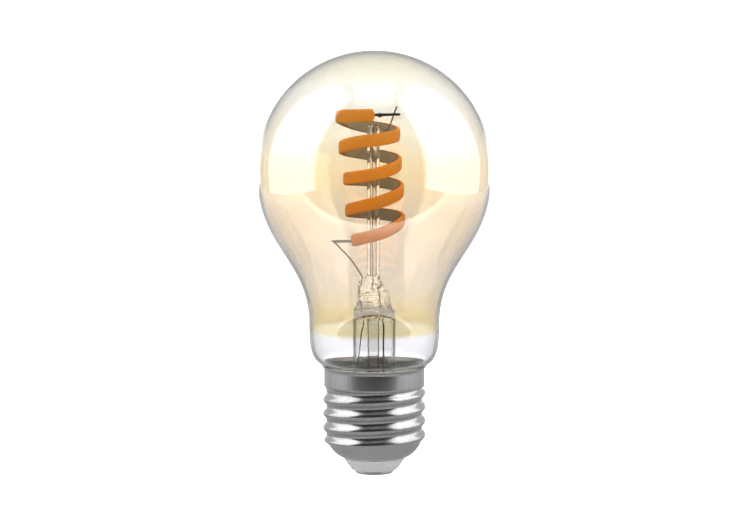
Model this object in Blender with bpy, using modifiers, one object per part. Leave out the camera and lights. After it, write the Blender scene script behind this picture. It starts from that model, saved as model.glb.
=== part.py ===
"""A 60 mm globe-topped filament lamp with an E27 screw cap and a wireless driver inside it.

The origin is the middle of the centre contact's lower face, +Z runs up the lamp's axis, and -Y is
the side that the coiled filament's upper tab is on. Everything is in metres.
"""

import math

import bmesh
import bpy
from mathutils import Matrix, Vector

MM = 0.001

# ---------------------------------------------------------------- fits
CLEARANCE = 0.3 * MM            # between two pieces that touch, seat or pass through
BORE_CLEARANCE = 0.25 * MM      # around a wire in its bore, and under the phosphor

# ---------------------------------------------------------------- glass envelope
BULB_DIAMETER = 60.0 * MM
OVERALL_LENGTH = 108.0 * MM
GLASS_WALL = 0.8 * MM
NECK_DIAMETER = 33.2 * MM
NECK_RISE = 9.6 * MM            # from the cap's rim to the end of the neck's straight run
UPPER_FULLNESS = 0.51           # how far the dome's straight side is carried into the flank
LOWER_FULLNESS = 0.41           # how far the neck's straight side is carried into the flank
THROAT_DROP = 2.5 * MM          # from the cap's rim to the narrowest place of the glass
THROAT_TAIL = 3.9 * MM          # straight glass below that place, inside the cap

# ---------------------------------------------------------------- screw cap
THREAD_DIAMETER = 26.2 * MM
THREAD_DEPTH = 0.95 * MM
THREAD_PITCH = 3.629 * MM
THREAD_PHASE = 6.3 * MM         # height of a crest on the +X side, less whole turns
CAP_HEIGHT = 27.4 * MM          # from the contact's face to the rim
SHELL_WALL = 0.35 * MM
SHOULDER_BASE = 4.2 * MM        # height of the shell's lower edge
SHOULDER_TOP = 8.8 * MM
BAND_HEIGHT = 5.1 * MM          # plain band under the rim
BAND_STEP = 0.3 * MM            # how much smaller the band's radius is than the thread's
LIP_FLARE = 0.6 * MM
LIP_HEIGHT = 0.7 * MM
THREAD_RUNOUT = 1.8 * MM

# ---------------------------------------------------------------- contact, insulator, cement
CONTACT_DIAMETER = 8.8 * MM
CONTACT_THICKNESS = 0.6 * MM
CONTACT_SHANK_DIAMETER = 1.8 * MM
CONTACT_SHANK_TOP = 5.2 * MM
INSULATOR_DIAMETER = 15.2 * MM
INSULATOR_FOOT_DIAMETER = 9.6 * MM
INSULATOR_TOP = 5.0 * MM
CEMENT_THICKNESS = 0.75 * MM
CEMENT_HEIGHT = 2.4 * MM

# ---------------------------------------------------------------- stem
STEM_LENGTH = 28.7 * MM
STEM_TUBE_DIAMETER = 10.74 * MM
STEM_WALL = 0.9 * MM
STEM_TUBE_RISE = 18.3 * MM      # from the flare's edge to where the tube starts to flatten
FLARE_HEIGHT = 4.7 * MM
PRESS_DEPTH = 3.8 * MM
PRESS_CEILING = 19.2 * MM       # from the flare's edge to the top of the hollow
EXHAUST_DIAMETER = 3.0 * MM
EXHAUST_WALL = 0.4 * MM
COLUMN_DIAMETER = 3.2 * MM
COLUMN_BORE = 1.35 * MM
COLUMN_OFFSET = -0.25 * MM      # the column and the exhaust tube stand a little left of the axis

# ---------------------------------------------------------------- wires
LEAD_DIAMETER = 0.4 * MM
LOWER_LEAD_RIGHT_DIAMETER = 0.55 * MM
SEAL_LEFT_TOP = -2.75 * MM      # x of the left wire where it leaves the press
SEAL_LEFT_FOOT = -3.0 * MM
SEAL_RIGHT_FOOT = 2.35 * MM
SLEEVE_DIAMETER = 1.5 * MM
SLEEVE_BORE = 1.1 * MM
SLEEVE_LENGTH = 2.6 * MM
MAINS_WIRE_DIAMETER = 0.9 * MM
NEUTRAL_WIRE_DIAMETER = 0.6 * MM

# ---------------------------------------------------------------- filament
COIL_DIAMETER = 15.2 * MM       # over the phosphor
COIL_PITCH = 7.8 * MM
COIL_DROP = 1.2 * MM            # from the dome's centre down to the coil's
COIL_OFFSET = -0.43 * MM
COIL_LEAN = math.radians(-4)    # the coil's top leans to -X
COIL_TOP_ANGLE = math.radians(-81.4)
COIL_TURNS = 4.194
COIL_STEPS_PER_TURN = 20
STRIP_WIDTH = 3.05 * MM
PHOSPHOR_THICKNESS = 0.85 * MM
SUBSTRATE_THICKNESS = 0.3 * MM
TAB_LENGTH = 7.0 * MM
TAB_WIDTH = 0.75 * MM
TAB_THICKNESS = 0.35 * MM
TAB_SPLAY = math.radians(8)
TAB_JOIN = 6.0 * MM             # from the strip's end to the weld with the lead
BEAD_DIAMETER = 1.2 * MM
BEAD_PLACE = 1.8 * MM
COLUMN_TOP_DROP = 4.2 * MM      # from the middle of the coil's top end to the column's top

# ---------------------------------------------------------------- driver and radio
LINER_THICKNESS = 0.5 * MM
LINER_TOP_DROP = 8.4 * MM       # below the cap's rim
BOARD_MARGIN = 2.5 * MM         # from the liner's bore to the board's edge
BOARD_THICKNESS = 1.0 * MM
BOARD_BASE = 7.4 * MM
BOARD_TOP_DROP = 8.4 * MM
HEADER_LENGTH = 4.0 * MM
HEADER_SIZE = (7.6 * MM, 1.8 * MM)
WIRELESS_SIZE = (11.0 * MM, 0.8 * MM, 9.6 * MM)
SHIELD_SIZE = (6.4 * MM, 1.4 * MM, 5.6 * MM)
CAPACITOR_DIAMETER = 5.0 * MM
CAPACITOR_LENGTH = 5.8 * MM
INDUCTOR_DIAMETER = 3.8 * MM
INDUCTOR_LENGTH = 4.6 * MM
INDUCTOR_CORE_DIAMETER = 1.6 * MM
INDUCTOR_FLANGE = 0.7 * MM
FUSE_DIAMETER = 2.5 * MM
FUSE_LENGTH = 5.6 * MM
RECTIFIER_SIZE = (4.2 * MM, 2.4 * MM, 2.7 * MM)
CHIP_SIZE = (4.9 * MM, 1.5 * MM, 3.9 * MM)
FILM_CAPACITOR_SIZE = (4.6 * MM, 3.0 * MM, 3.4 * MM)

# ---------------------------------------------------------------- worked out from the above
BULB_RADIUS = BULB_DIAMETER / 2
DOME_CENTRE = OVERALL_LENGTH - BULB_RADIUS
NECK_HEIGHT = CAP_HEIGHT + NECK_RISE
THREAD_RADIUS = THREAD_DIAMETER / 2
THREAD_ROOT = THREAD_RADIUS - THREAD_DEPTH
BAND_RADIUS = THREAD_RADIUS - BAND_STEP
BAND_BASE = CAP_HEIGHT - BAND_HEIGHT
LIP_RADIUS = BAND_RADIUS + LIP_FLARE
SEAT_RADIUS = LIP_RADIUS - SHELL_WALL - 1.7 * CLEARANCE
THROAT_RADIUS = BAND_RADIUS - SHELL_WALL - 2 * CLEARANCE - CEMENT_THICKNESS
THROAT_HEIGHT = CAP_HEIGHT - THROAT_DROP
GLASS_END = THROAT_HEIGHT - THROAT_TAIL
FLARE_EDGE = GLASS_END + CLEARANCE
FLARE_RADIUS = THROAT_RADIUS - GLASS_WALL - CLEARANCE
STEM_RADIUS = STEM_TUBE_DIAMETER / 2
STEM_TOP = FLARE_EDGE + STEM_LENGTH
HOLLOW_TOP = FLARE_EDGE + PRESS_CEILING
COIL_CENTRE = Vector((COIL_OFFSET, 0, DOME_CENTRE - COIL_DROP))
COIL_RADIUS = COIL_DIAMETER / 2
COIL_SPAN = COIL_TURNS * 2 * math.pi
SUBSTRATE_RADIUS = COIL_RADIUS - PHOSPHOR_THICKNESS - BORE_CLEARANCE
TAB_RADIUS = SUBSTRATE_RADIUS
COLUMN_FOOT = STEM_TOP + CLEARANCE
COLUMN_TOP = COIL_CENTRE.z + COIL_TURNS * COIL_PITCH / 2 - COLUMN_TOP_DROP
LINER_RADIUS = THREAD_ROOT - SHELL_WALL - CLEARANCE
LINER_BORE = LINER_RADIUS - LINER_THICKNESS
LINER_TOP = CAP_HEIGHT - LINER_TOP_DROP
BOARD_HALF_WIDTH = LINER_BORE - BOARD_MARGIN
BOARD_TOP = CAP_HEIGHT - BOARD_TOP_DROP
BOARD_FACE = BOARD_THICKNESS / 2 + CLEARANCE
WIRELESS_FACE = BOARD_FACE + HEADER_LENGTH + CLEARANCE

for old in list(bpy.data.objects):
    bpy.data.objects.remove(old, do_unlink=True)

PARTS = bpy.data.collections.new("filament_bulb")
CUTTERS = bpy.data.collections.new("cutters")
bpy.context.scene.collection.children.link(PARTS)
bpy.context.scene.collection.children.link(CUTTERS)


# ---------------------------------------------------------------- materials
def material(name, colour, roughness, metallic=0.0, transmission=0.0):
    made = bpy.data.materials.new(name)
    made.use_nodes = True
    shader = made.node_tree.nodes["Principled BSDF"]
    shader.inputs["Base Color"].default_value = (*colour, 1)
    shader.inputs["Roughness"].default_value = roughness
    shader.inputs["Metallic"].default_value = metallic
    shader.inputs["Transmission Weight"].default_value = transmission
    made.diffuse_color = (*colour, 1)
    return made


AMBER_GLASS = material("amber_glass", (0.93, 0.70, 0.38), 0.03, transmission=0.9)
CLEAR_GLASS = material("clear_glass", (0.93, 0.95, 0.95), 0.03, transmission=0.9)
NICKEL_CAP = material("nickel_cap", (0.72, 0.72, 0.73), 0.18, metallic=1.0)
TINNED_CONTACT = material("tinned_contact", (0.66, 0.66, 0.65), 0.3, metallic=1.0)
INSULATOR_PLASTIC = material("insulator_plastic", (0.82, 0.83, 0.82), 0.35)
CEMENT = material("cement", (0.42, 0.39, 0.34), 0.85)
LINER_FILM = material("liner_film", (0.75, 0.71, 0.55), 0.45)
PHOSPHOR = material("phosphor", (0.90, 0.38, 0.04), 0.45)
SUBSTRATE = material("substrate", (0.33, 0.28, 0.20), 0.55)
TAB_METAL = material("tab_metal", (0.24, 0.22, 0.19), 0.35, metallic=1.0)
LEAD_NICKEL = material("lead_nickel", (0.50, 0.47, 0.42), 0.3, metallic=1.0)
LEAD_SEAL = material("lead_seal", (0.50, 0.27, 0.22), 0.35, metallic=1.0)
LEAD_COPPER = material("lead_copper", (0.30, 0.24, 0.20), 0.35, metallic=1.0)
SLEEVE_FIBRE = material("sleeve_fibre", (0.86, 0.84, 0.78), 0.8)
BOARD_GREEN = material("board_green", (0.05, 0.22, 0.10), 0.4)
BOARD_BLACK = material("board_black", (0.03, 0.03, 0.035), 0.4)
COMPONENT_BLACK = material("component_black", (0.03, 0.03, 0.03), 0.5)
COMPONENT_BEIGE = material("component_beige", (0.62, 0.50, 0.30), 0.5)
CAN_ALUMINIUM = material("can_aluminium", (0.70, 0.70, 0.72), 0.3, metallic=1.0)
WINDING_COPPER = material("winding_copper", (0.72, 0.32, 0.12), 0.3, metallic=1.0)
WIRE_RED = material("wire_red", (0.55, 0.05, 0.04), 0.45)
WIRE_WHITE = material("wire_white", (0.80, 0.80, 0.78), 0.45)


# ---------------------------------------------------------------- making solids
def place(made, finish, collection=PARTS):
    """Move an object into its collection and give it its material."""
    for holder in list(made.users_collection):
        holder.objects.unlink(made)
    collection.objects.link(made)
    if finish:
        made.data.materials.append(finish)
    if collection is CUTTERS:
        made.hide_render = True
        made.display_type = "WIRE"
    return made


def from_mesh(name, work, finish, smooth=True, collection=PARTS):
    mesh = bpy.data.meshes.new(name)
    work.to_mesh(mesh)
    work.free()
    if smooth:
        mesh.shade_smooth()
        mesh.set_sharp_from_angle(angle=math.radians(35))
    return place(bpy.data.objects.new(name, mesh), finish, collection)


def box(name, size, centre, finish, bevel=0.15 * MM):
    bpy.ops.mesh.primitive_cube_add(size=1)
    made = bpy.context.object
    made.name = made.data.name = name
    made.data.transform(Matrix.Translation(centre) @ Matrix.Diagonal((*size, 1)))
    if bevel:
        rounding = made.modifiers.new("edges", "BEVEL")
        rounding.width = bevel
        rounding.segments = 1
    return place(made, finish)


def turned(name, profile, finish, steps=24, centre=(0, 0), collection=PARTS):
    """A profile of (radius, height) points, turned about a line along Z.

    The points run down the outer side. A profile that ends where it starts makes a ring.
    """
    work = bmesh.new()
    ring = profile[0] == profile[-1]
    points = [work.verts.new((radius, 0, height)) for radius, height in profile[: -1 if ring else None]]
    for upper, lower in zip(points, points[1:]):
        work.edges.new((upper, lower))
    if ring:
        work.edges.new((points[-1], points[0]))
    made = from_mesh(name, work, finish, smooth=False, collection=collection)
    made.location = (*centre, 0)
    screw = made.modifiers.new("turn", "SCREW")
    screw.steps = screw.render_steps = steps
    screw.use_merge_vertices = True
    screw.merge_threshold = 0.02 * MM
    screw.use_smooth_shade = True
    return made


def thicken(made, wall):
    """Give an open surface its wall, on the side that its faces point away from."""
    shell = made.modifiers.new("wall", "SOLIDIFY")
    shell.thickness = wall
    shell.offset = -1
    shell.use_even_offset = True
    shell.use_quality_normals = True
    return made


def wire(name, points, diameter, finish):
    curve = bpy.data.curves.new(name, "CURVE")
    curve.dimensions = "3D"
    curve.bevel_depth = diameter / 2
    curve.bevel_resolution = 1
    curve.use_fill_caps = True
    spline = curve.splines.new("POLY")
    spline.points.add(len(points) - 1)
    for control, point in zip(spline.points, points):
        control.co = (*point, 1)
    return place(bpy.data.objects.new(name, curve), finish)


def rod(name, start, end, diameter, finish, collection=PARTS, sides=12):
    """A straight round bar between two points, as a mesh."""
    start, end = Vector(start), Vector(end)
    work = bmesh.new()
    bmesh.ops.create_cone(
        work,
        cap_ends=True,
        segments=sides,
        radius1=diameter / 2,
        radius2=diameter / 2,
        depth=(end - start).length,
    )
    turn = (end - start).to_track_quat("Z", "Y").to_matrix().to_4x4()
    work.transform(Matrix.Translation((start + end) / 2) @ turn)
    return from_mesh(name, work, finish, collection=collection)


def boolean(made, other, operation="DIFFERENCE"):
    step = made.modifiers.new(other.name, "BOOLEAN")
    step.operation = operation
    step.object = other
    return made


def bezier(start, first, second, end, steps):
    """Points of a cubic curve after its start, up to and including its end."""
    found = []
    for index in range(1, steps + 1):
        t = index / steps
        u = 1 - t
        weights = (u**3, 3 * u * u * t, 3 * u * t * t, t**3)
        found.append(tuple(sum(w * p[axis] for w, p in zip(weights, (start, first, second, end)))
                           for axis in (0, 1)))
    return found


def ease(value):
    """A smooth step from 0 to 1."""
    value = min(max(value, 0), 1)
    return value * value * (3 - 2 * value)


# ---------------------------------------------------------------- envelope
def envelope():
    """A dome, a hollow flank, a straight neck, and a shoulder that tucks into the cap."""
    neck = NECK_DIAMETER / 2
    flank = DOME_CENTRE - NECK_HEIGHT
    dome_steps = 7
    profile = [(0, OVERALL_LENGTH)]
    for index in range(1, dome_steps + 1):
        angle = math.pi / 2 * index / dome_steps
        profile.append((BULB_RADIUS * math.sin(angle), DOME_CENTRE + BULB_RADIUS * math.cos(angle)))
    profile += bezier(
        (BULB_RADIUS, DOME_CENTRE),
        (BULB_RADIUS, DOME_CENTRE - UPPER_FULLNESS * flank),
        (neck, NECK_HEIGHT + LOWER_FULLNESS * flank),
        (neck, NECK_HEIGHT),
        6,
    )
    seat = (SEAT_RADIUS, CAP_HEIGHT)
    tuck = neck - SEAT_RADIUS
    profile += bezier(
        (neck, NECK_HEIGHT),
        (neck, NECK_HEIGHT - 0.62 * NECK_RISE),
        (SEAT_RADIUS + 0.58 * tuck, CAP_HEIGHT + 0.125 * NECK_RISE),
        seat,
        5,
    )
    profile += bezier(
        seat,
        (SEAT_RADIUS - 0.15 * tuck, CAP_HEIGHT - 0.14 * THROAT_DROP),
        (THROAT_RADIUS, THROAT_HEIGHT + 0.5 * THROAT_DROP),
        (THROAT_RADIUS, THROAT_HEIGHT),
        3,
    )
    profile.append((THROAT_RADIUS, GLASS_END))
    thicken(turned("glass_envelope", profile, AMBER_GLASS, steps=40), GLASS_WALL)


# ---------------------------------------------------------------- cap
def shell_radius(height):
    """The cap's radius without its thread."""
    if height >= CAP_HEIGHT - LIP_HEIGHT:
        return BAND_RADIUS + LIP_FLARE * ease((height - CAP_HEIGHT + LIP_HEIGHT) / LIP_HEIGHT)
    step = 0.5 * MM
    return THREAD_ROOT + (BAND_RADIUS - THREAD_ROOT) * ease((height - BAND_BASE + step) / step)


def thread_rise(angle, height):
    """How far the right-handed thread stands out of the shell's root."""
    ends = ease((height - SHOULDER_TOP + THREAD_RUNOUT) / THREAD_RUNOUT)
    ends *= ease((BAND_BASE - height) / THREAD_RUNOUT)
    turn = (height - THREAD_PHASE) / THREAD_PITCH - angle / (2 * math.pi)
    return THREAD_DEPTH * ends * (0.5 + 0.5 * math.cos(2 * math.pi * turn))


def cap_shell():
    """A sheet wrapped into a tube, with its thread, shoulder, band and lip rolled into it."""
    edge = INSULATOR_DIAMETER / 2 + CLEARANCE + SHELL_WALL / 2
    shoulder = [(edge, SHOULDER_BASE)] + bezier(
        (edge, SHOULDER_BASE),
        (edge + 0.43 * (THREAD_ROOT - edge), SHOULDER_BASE + 0.11 * (SHOULDER_TOP - SHOULDER_BASE)),
        (edge + 0.87 * (THREAD_ROOT - edge), SHOULDER_BASE + 0.52 * (SHOULDER_TOP - SHOULDER_BASE)),
        (THREAD_ROOT, SHOULDER_TOP),
        5,
    )
    sides = 32
    rows_per_turn = 7
    rows = math.ceil((BAND_BASE - SHOULDER_TOP) / THREAD_PITCH * rows_per_turn)
    outline = list(shoulder)
    for index in range(1, rows + 1):
        height = SHOULDER_TOP + (BAND_BASE - SHOULDER_TOP) * index / rows
        outline.append((shell_radius(height), height))
    lip_base = CAP_HEIGHT - LIP_HEIGHT
    for height in ((BAND_BASE + lip_base) / 2, lip_base, CAP_HEIGHT - LIP_HEIGHT / 2, CAP_HEIGHT):
        outline.append((shell_radius(height), height))

    work = bmesh.new()
    bmesh.ops.create_grid(work, x_segments=sides, y_segments=len(outline) - 1, size=0.5)
    for vert in work.verts:
        angle = (vert.co.x + 0.5) * 2 * math.pi
        radius, height = outline[round((vert.co.y + 0.5) * (len(outline) - 1))]
        radius += thread_rise(angle, height)
        vert.co = (radius * math.cos(angle), radius * math.sin(angle), height)
    bmesh.ops.remove_doubles(work, verts=work.verts, dist=0.01 * MM)
    thicken(from_mesh("cap_shell", work, NICKEL_CAP), SHELL_WALL)


def contact_and_insulator():
    shank = CONTACT_SHANK_DIAMETER / 2
    face = CONTACT_DIAMETER / 2
    edge = 0.2 * MM
    head = [
        (0, CONTACT_SHANK_TOP),
        (shank, CONTACT_SHANK_TOP),
        (shank, CONTACT_THICKNESS),
        (face - edge, CONTACT_THICKNESS),
        (face, CONTACT_THICKNESS - edge),
        (face, edge),
        (face - edge, 0),
        (0, 0),
    ]
    turned("centre_contact", head, TINNED_CONTACT)

    hole = shank + CLEARANCE
    foot = CONTACT_THICKNESS + CLEARANCE
    rim = INSULATOR_DIAMETER / 2
    body = [
        (rim, INSULATOR_TOP),
        (rim, SHOULDER_BASE),
        (INSULATOR_FOOT_DIAMETER / 2, foot),
        (hole, foot),
        (hole, INSULATOR_TOP),
        (rim, INSULATOR_TOP),
    ]
    turned("insulator", body, INSULATOR_PLASTIC, steps=28)


def ring(name, outer, inner, base, top, finish, steps=28):
    profile = [(outer, top), (outer, base), (inner, base), (inner, top), (outer, top)]
    return turned(name, profile, finish, steps=steps)


def cement_and_liner():
    outer = BAND_RADIUS - SHELL_WALL - CLEARANCE
    base = THROAT_HEIGHT - CEMENT_HEIGHT
    ring("cement_ring", outer, outer - CEMENT_THICKNESS, base, THROAT_HEIGHT, CEMENT)
    ring("insulating_liner", LINER_RADIUS, LINER_BORE, SHOULDER_TOP, LINER_TOP, LINER_FILM)


# ---------------------------------------------------------------- stem
def stem():
    """A flared tube whose top is pinched flat round the two wires."""
    press = PRESS_DEPTH / 2
    tube_top = FLARE_EDGE + STEM_TUBE_RISE
    pinch = STEM_TOP - tube_top
    flare = FLARE_RADIUS - STEM_RADIUS
    # height, half width, half depth, sideways shift, squareness (2 is an ellipse)
    sections = [
        (FLARE_EDGE, FLARE_RADIUS, FLARE_RADIUS, 0, 2),
        (FLARE_EDGE + 0.13 * FLARE_HEIGHT, FLARE_RADIUS - 0.03 * flare, FLARE_RADIUS - 0.03 * flare, 0, 2),
        (FLARE_EDGE + 0.34 * FLARE_HEIGHT, STEM_RADIUS + 0.48 * flare, STEM_RADIUS + 0.48 * flare, 0, 2),
        (FLARE_EDGE + 0.64 * FLARE_HEIGHT, STEM_RADIUS + 0.14 * flare, STEM_RADIUS + 0.14 * flare, 0, 2),
        (FLARE_EDGE + FLARE_HEIGHT, STEM_RADIUS, STEM_RADIUS, 0, 2),
        (tube_top, STEM_RADIUS, STEM_RADIUS, 0, 2),
        (tube_top + 0.15 * pinch, 0.97 * STEM_RADIUS, 0.84 * STEM_RADIUS, -0.02 * STEM_RADIUS, 2.2),
        (tube_top + 0.28 * pinch, 0.88 * STEM_RADIUS, 1.5 * press, -0.04 * STEM_RADIUS, 2.8),
        (tube_top + 0.39 * pinch, 0.78 * STEM_RADIUS, 1.05 * press, -0.02 * STEM_RADIUS, 4),
        (tube_top + 0.62 * pinch, 0.73 * STEM_RADIUS, press, -0.06 * STEM_RADIUS, 4),
        (tube_top + 0.91 * pinch, 0.58 * STEM_RADIUS, press, -0.20 * STEM_RADIUS, 4),
        (STEM_TOP, 0.53 * STEM_RADIUS, 0.85 * press, -0.20 * STEM_RADIUS, 4),
    ]
    sides = 28
    work = bmesh.new()
    loops = []
    for height, width, depth, shift, squareness in sections:
        loop = []
        for index in range(sides):
            angle = 2 * math.pi * index / sides
            across, along = math.cos(angle), math.sin(angle)
            x = shift + width * math.copysign(abs(across) ** (2 / squareness), across)
            y = depth * math.copysign(abs(along) ** (2 / squareness), along)
            loop.append(work.verts.new((x, y, height)))
        loops.append(loop)
    for lower, upper in zip(loops, loops[1:]):
        for index in range(sides):
            after = (index + 1) % sides
            work.faces.new((lower[index], lower[after], upper[after], upper[index]))
    work.faces.new(list(reversed(loops[0])))
    work.faces.new(loops[-1])
    made = from_mesh("stem_flare", work, CLEAR_GLASS)

    bore = STEM_RADIUS - STEM_WALL
    mouth = FLARE_RADIUS - STEM_WALL
    below = FLARE_EDGE - 1 * MM
    hollow = [
        (0, HOLLOW_TOP),
        (0.85 * bore, HOLLOW_TOP),
        (bore, HOLLOW_TOP - 0.7 * MM),
        (bore, FLARE_EDGE + FLARE_HEIGHT),
        (bore + 0.14 * flare, FLARE_EDGE + 0.6 * FLARE_HEIGHT),
        (bore + 0.48 * flare, FLARE_EDGE + 0.28 * FLARE_HEIGHT),
        (mouth, FLARE_EDGE),
        (mouth, below),
        (0, below),
    ]
    boolean(made, turned("stem_hollow", hollow, None, collection=CUTTERS))

    hole = LEAD_DIAMETER + 2 * CLEARANCE
    for side, wire_top, wire_foot in seal_lines():
        down = (wire_foot - wire_top).normalized() * 1 * MM
        boolean(made, rod(f"seal_bore_{side}", wire_top - down, wire_foot + down, hole, None, CUTTERS))


def seal_lines():
    """Where each wire crosses the press, from its top face to its hollow."""
    return (
        ("left", Vector((SEAL_LEFT_TOP, 0, STEM_TOP)), Vector((SEAL_LEFT_FOOT, 0, HOLLOW_TOP))),
        ("right", Vector((COLUMN_OFFSET, 0, STEM_TOP)), Vector((SEAL_RIGHT_FOOT, 0, HOLLOW_TOP))),
    )


def tubes():
    outer = COLUMN_DIAMETER / 2
    bore = COLUMN_BORE / 2
    column = [(outer, COLUMN_TOP), (outer, COLUMN_FOOT), (bore, COLUMN_FOOT), (bore, COLUMN_TOP),
              (outer, COLUMN_TOP)]
    turned("support_column", column, CLEAR_GLASS, steps=16, centre=(COLUMN_OFFSET, 0))

    outer = EXHAUST_DIAMETER / 2
    top = HOLLOW_TOP - CLEARANCE
    tip = BOARD_TOP + 4 * CLEARANCE
    pinched = [
        (outer, top),
        (outer, tip + 1.2 * MM),
        (0.6 * outer, tip + 0.4 * MM),
        (0, tip),
    ]
    thicken(turned("exhaust_tube", pinched, CLEAR_GLASS, steps=16, centre=(COLUMN_OFFSET, 0)),
            EXHAUST_WALL)


# ---------------------------------------------------------------- filament
COIL_FRAME = Matrix.Translation(COIL_CENTRE) @ Matrix.Rotation(COIL_LEAN, 4, "Y")


def coil_point(share, radius, lift=0.0):
    """A point on the coil, from share 0 at its lower end to 1 at its upper end, in the coil's frame."""
    angle = COIL_TOP_ANGLE - COIL_SPAN * (1 - share)
    height = COIL_TURNS * COIL_PITCH * (share - 0.5) + lift
    return Vector((radius * math.cos(angle), radius * math.sin(angle), height))


def tab_point(end, distance, outward=0.0):
    """A point along the tab of the coil's upper (1) or lower (0) end, in the coil's frame."""
    start = coil_point(end, TAB_RADIUS)
    angle = COIL_TOP_ANGLE - COIL_SPAN * (1 - end)
    sense = 1 if end else -1
    out = Vector((math.cos(angle), math.sin(angle), 0))
    along = Vector((-math.sin(angle), math.cos(angle), 0)) * sense
    run = along * math.cos(TAB_SPLAY * (1 - end)) + out * math.sin(TAB_SPLAY * (1 - end))
    run.z = 0.05 * sense
    return start + run.normalized() * distance + out * outward


def filament():
    frame = bpy.data.objects.new("coil_frame", None)
    frame.matrix_world = COIL_FRAME
    PARTS.objects.link(frame)

    def strip(name, radius, thickness, finish):
        steps = round(COIL_TURNS * COIL_STEPS_PER_TURN)
        work = bmesh.new()
        bmesh.ops.create_grid(work, x_segments=steps, y_segments=1, size=0.5)
        for vert in work.verts:
            vert.co = coil_point(vert.co.x + 0.5, radius, vert.co.y * STRIP_WIDTH)
        made = thicken(from_mesh(name, work, finish), thickness)
        made.parent = frame
        return made

    strip("filament_phosphor", COIL_RADIUS, PHOSPHOR_THICKNESS, PHOSPHOR)
    strip("filament_substrate", SUBSTRATE_RADIUS, SUBSTRATE_THICKNESS, SUBSTRATE)

    for name, end in (("filament_tab_top", 1), ("filament_tab_bottom", 0)):
        start, tip = tab_point(end, CLEARANCE), tab_point(end, TAB_LENGTH)
        work = bmesh.new()
        bmesh.ops.create_cube(work, size=1)
        work.transform(Matrix.Diagonal((TAB_THICKNESS, TAB_WIDTH, (tip - start).length, 1)))
        turn = (tip - start).to_track_quat("Z", "Y").to_matrix().to_4x4()
        work.transform(Matrix.Translation((start + tip) / 2) @ turn)
        tab = from_mesh(name, work, TAB_METAL, smooth=False)
        tab.parent = frame
        if end:
            bead = bmesh.new()
            bmesh.ops.create_icosphere(bead, subdivisions=1, radius=BEAD_DIAMETER / 2)
            bead.transform(Matrix.Translation(tab_point(end, BEAD_PLACE)))
            solid = from_mesh("tab_bead", bead, TAB_METAL, collection=CUTTERS)
            solid.parent = frame
            boolean(tab, solid, "UNION")


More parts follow.
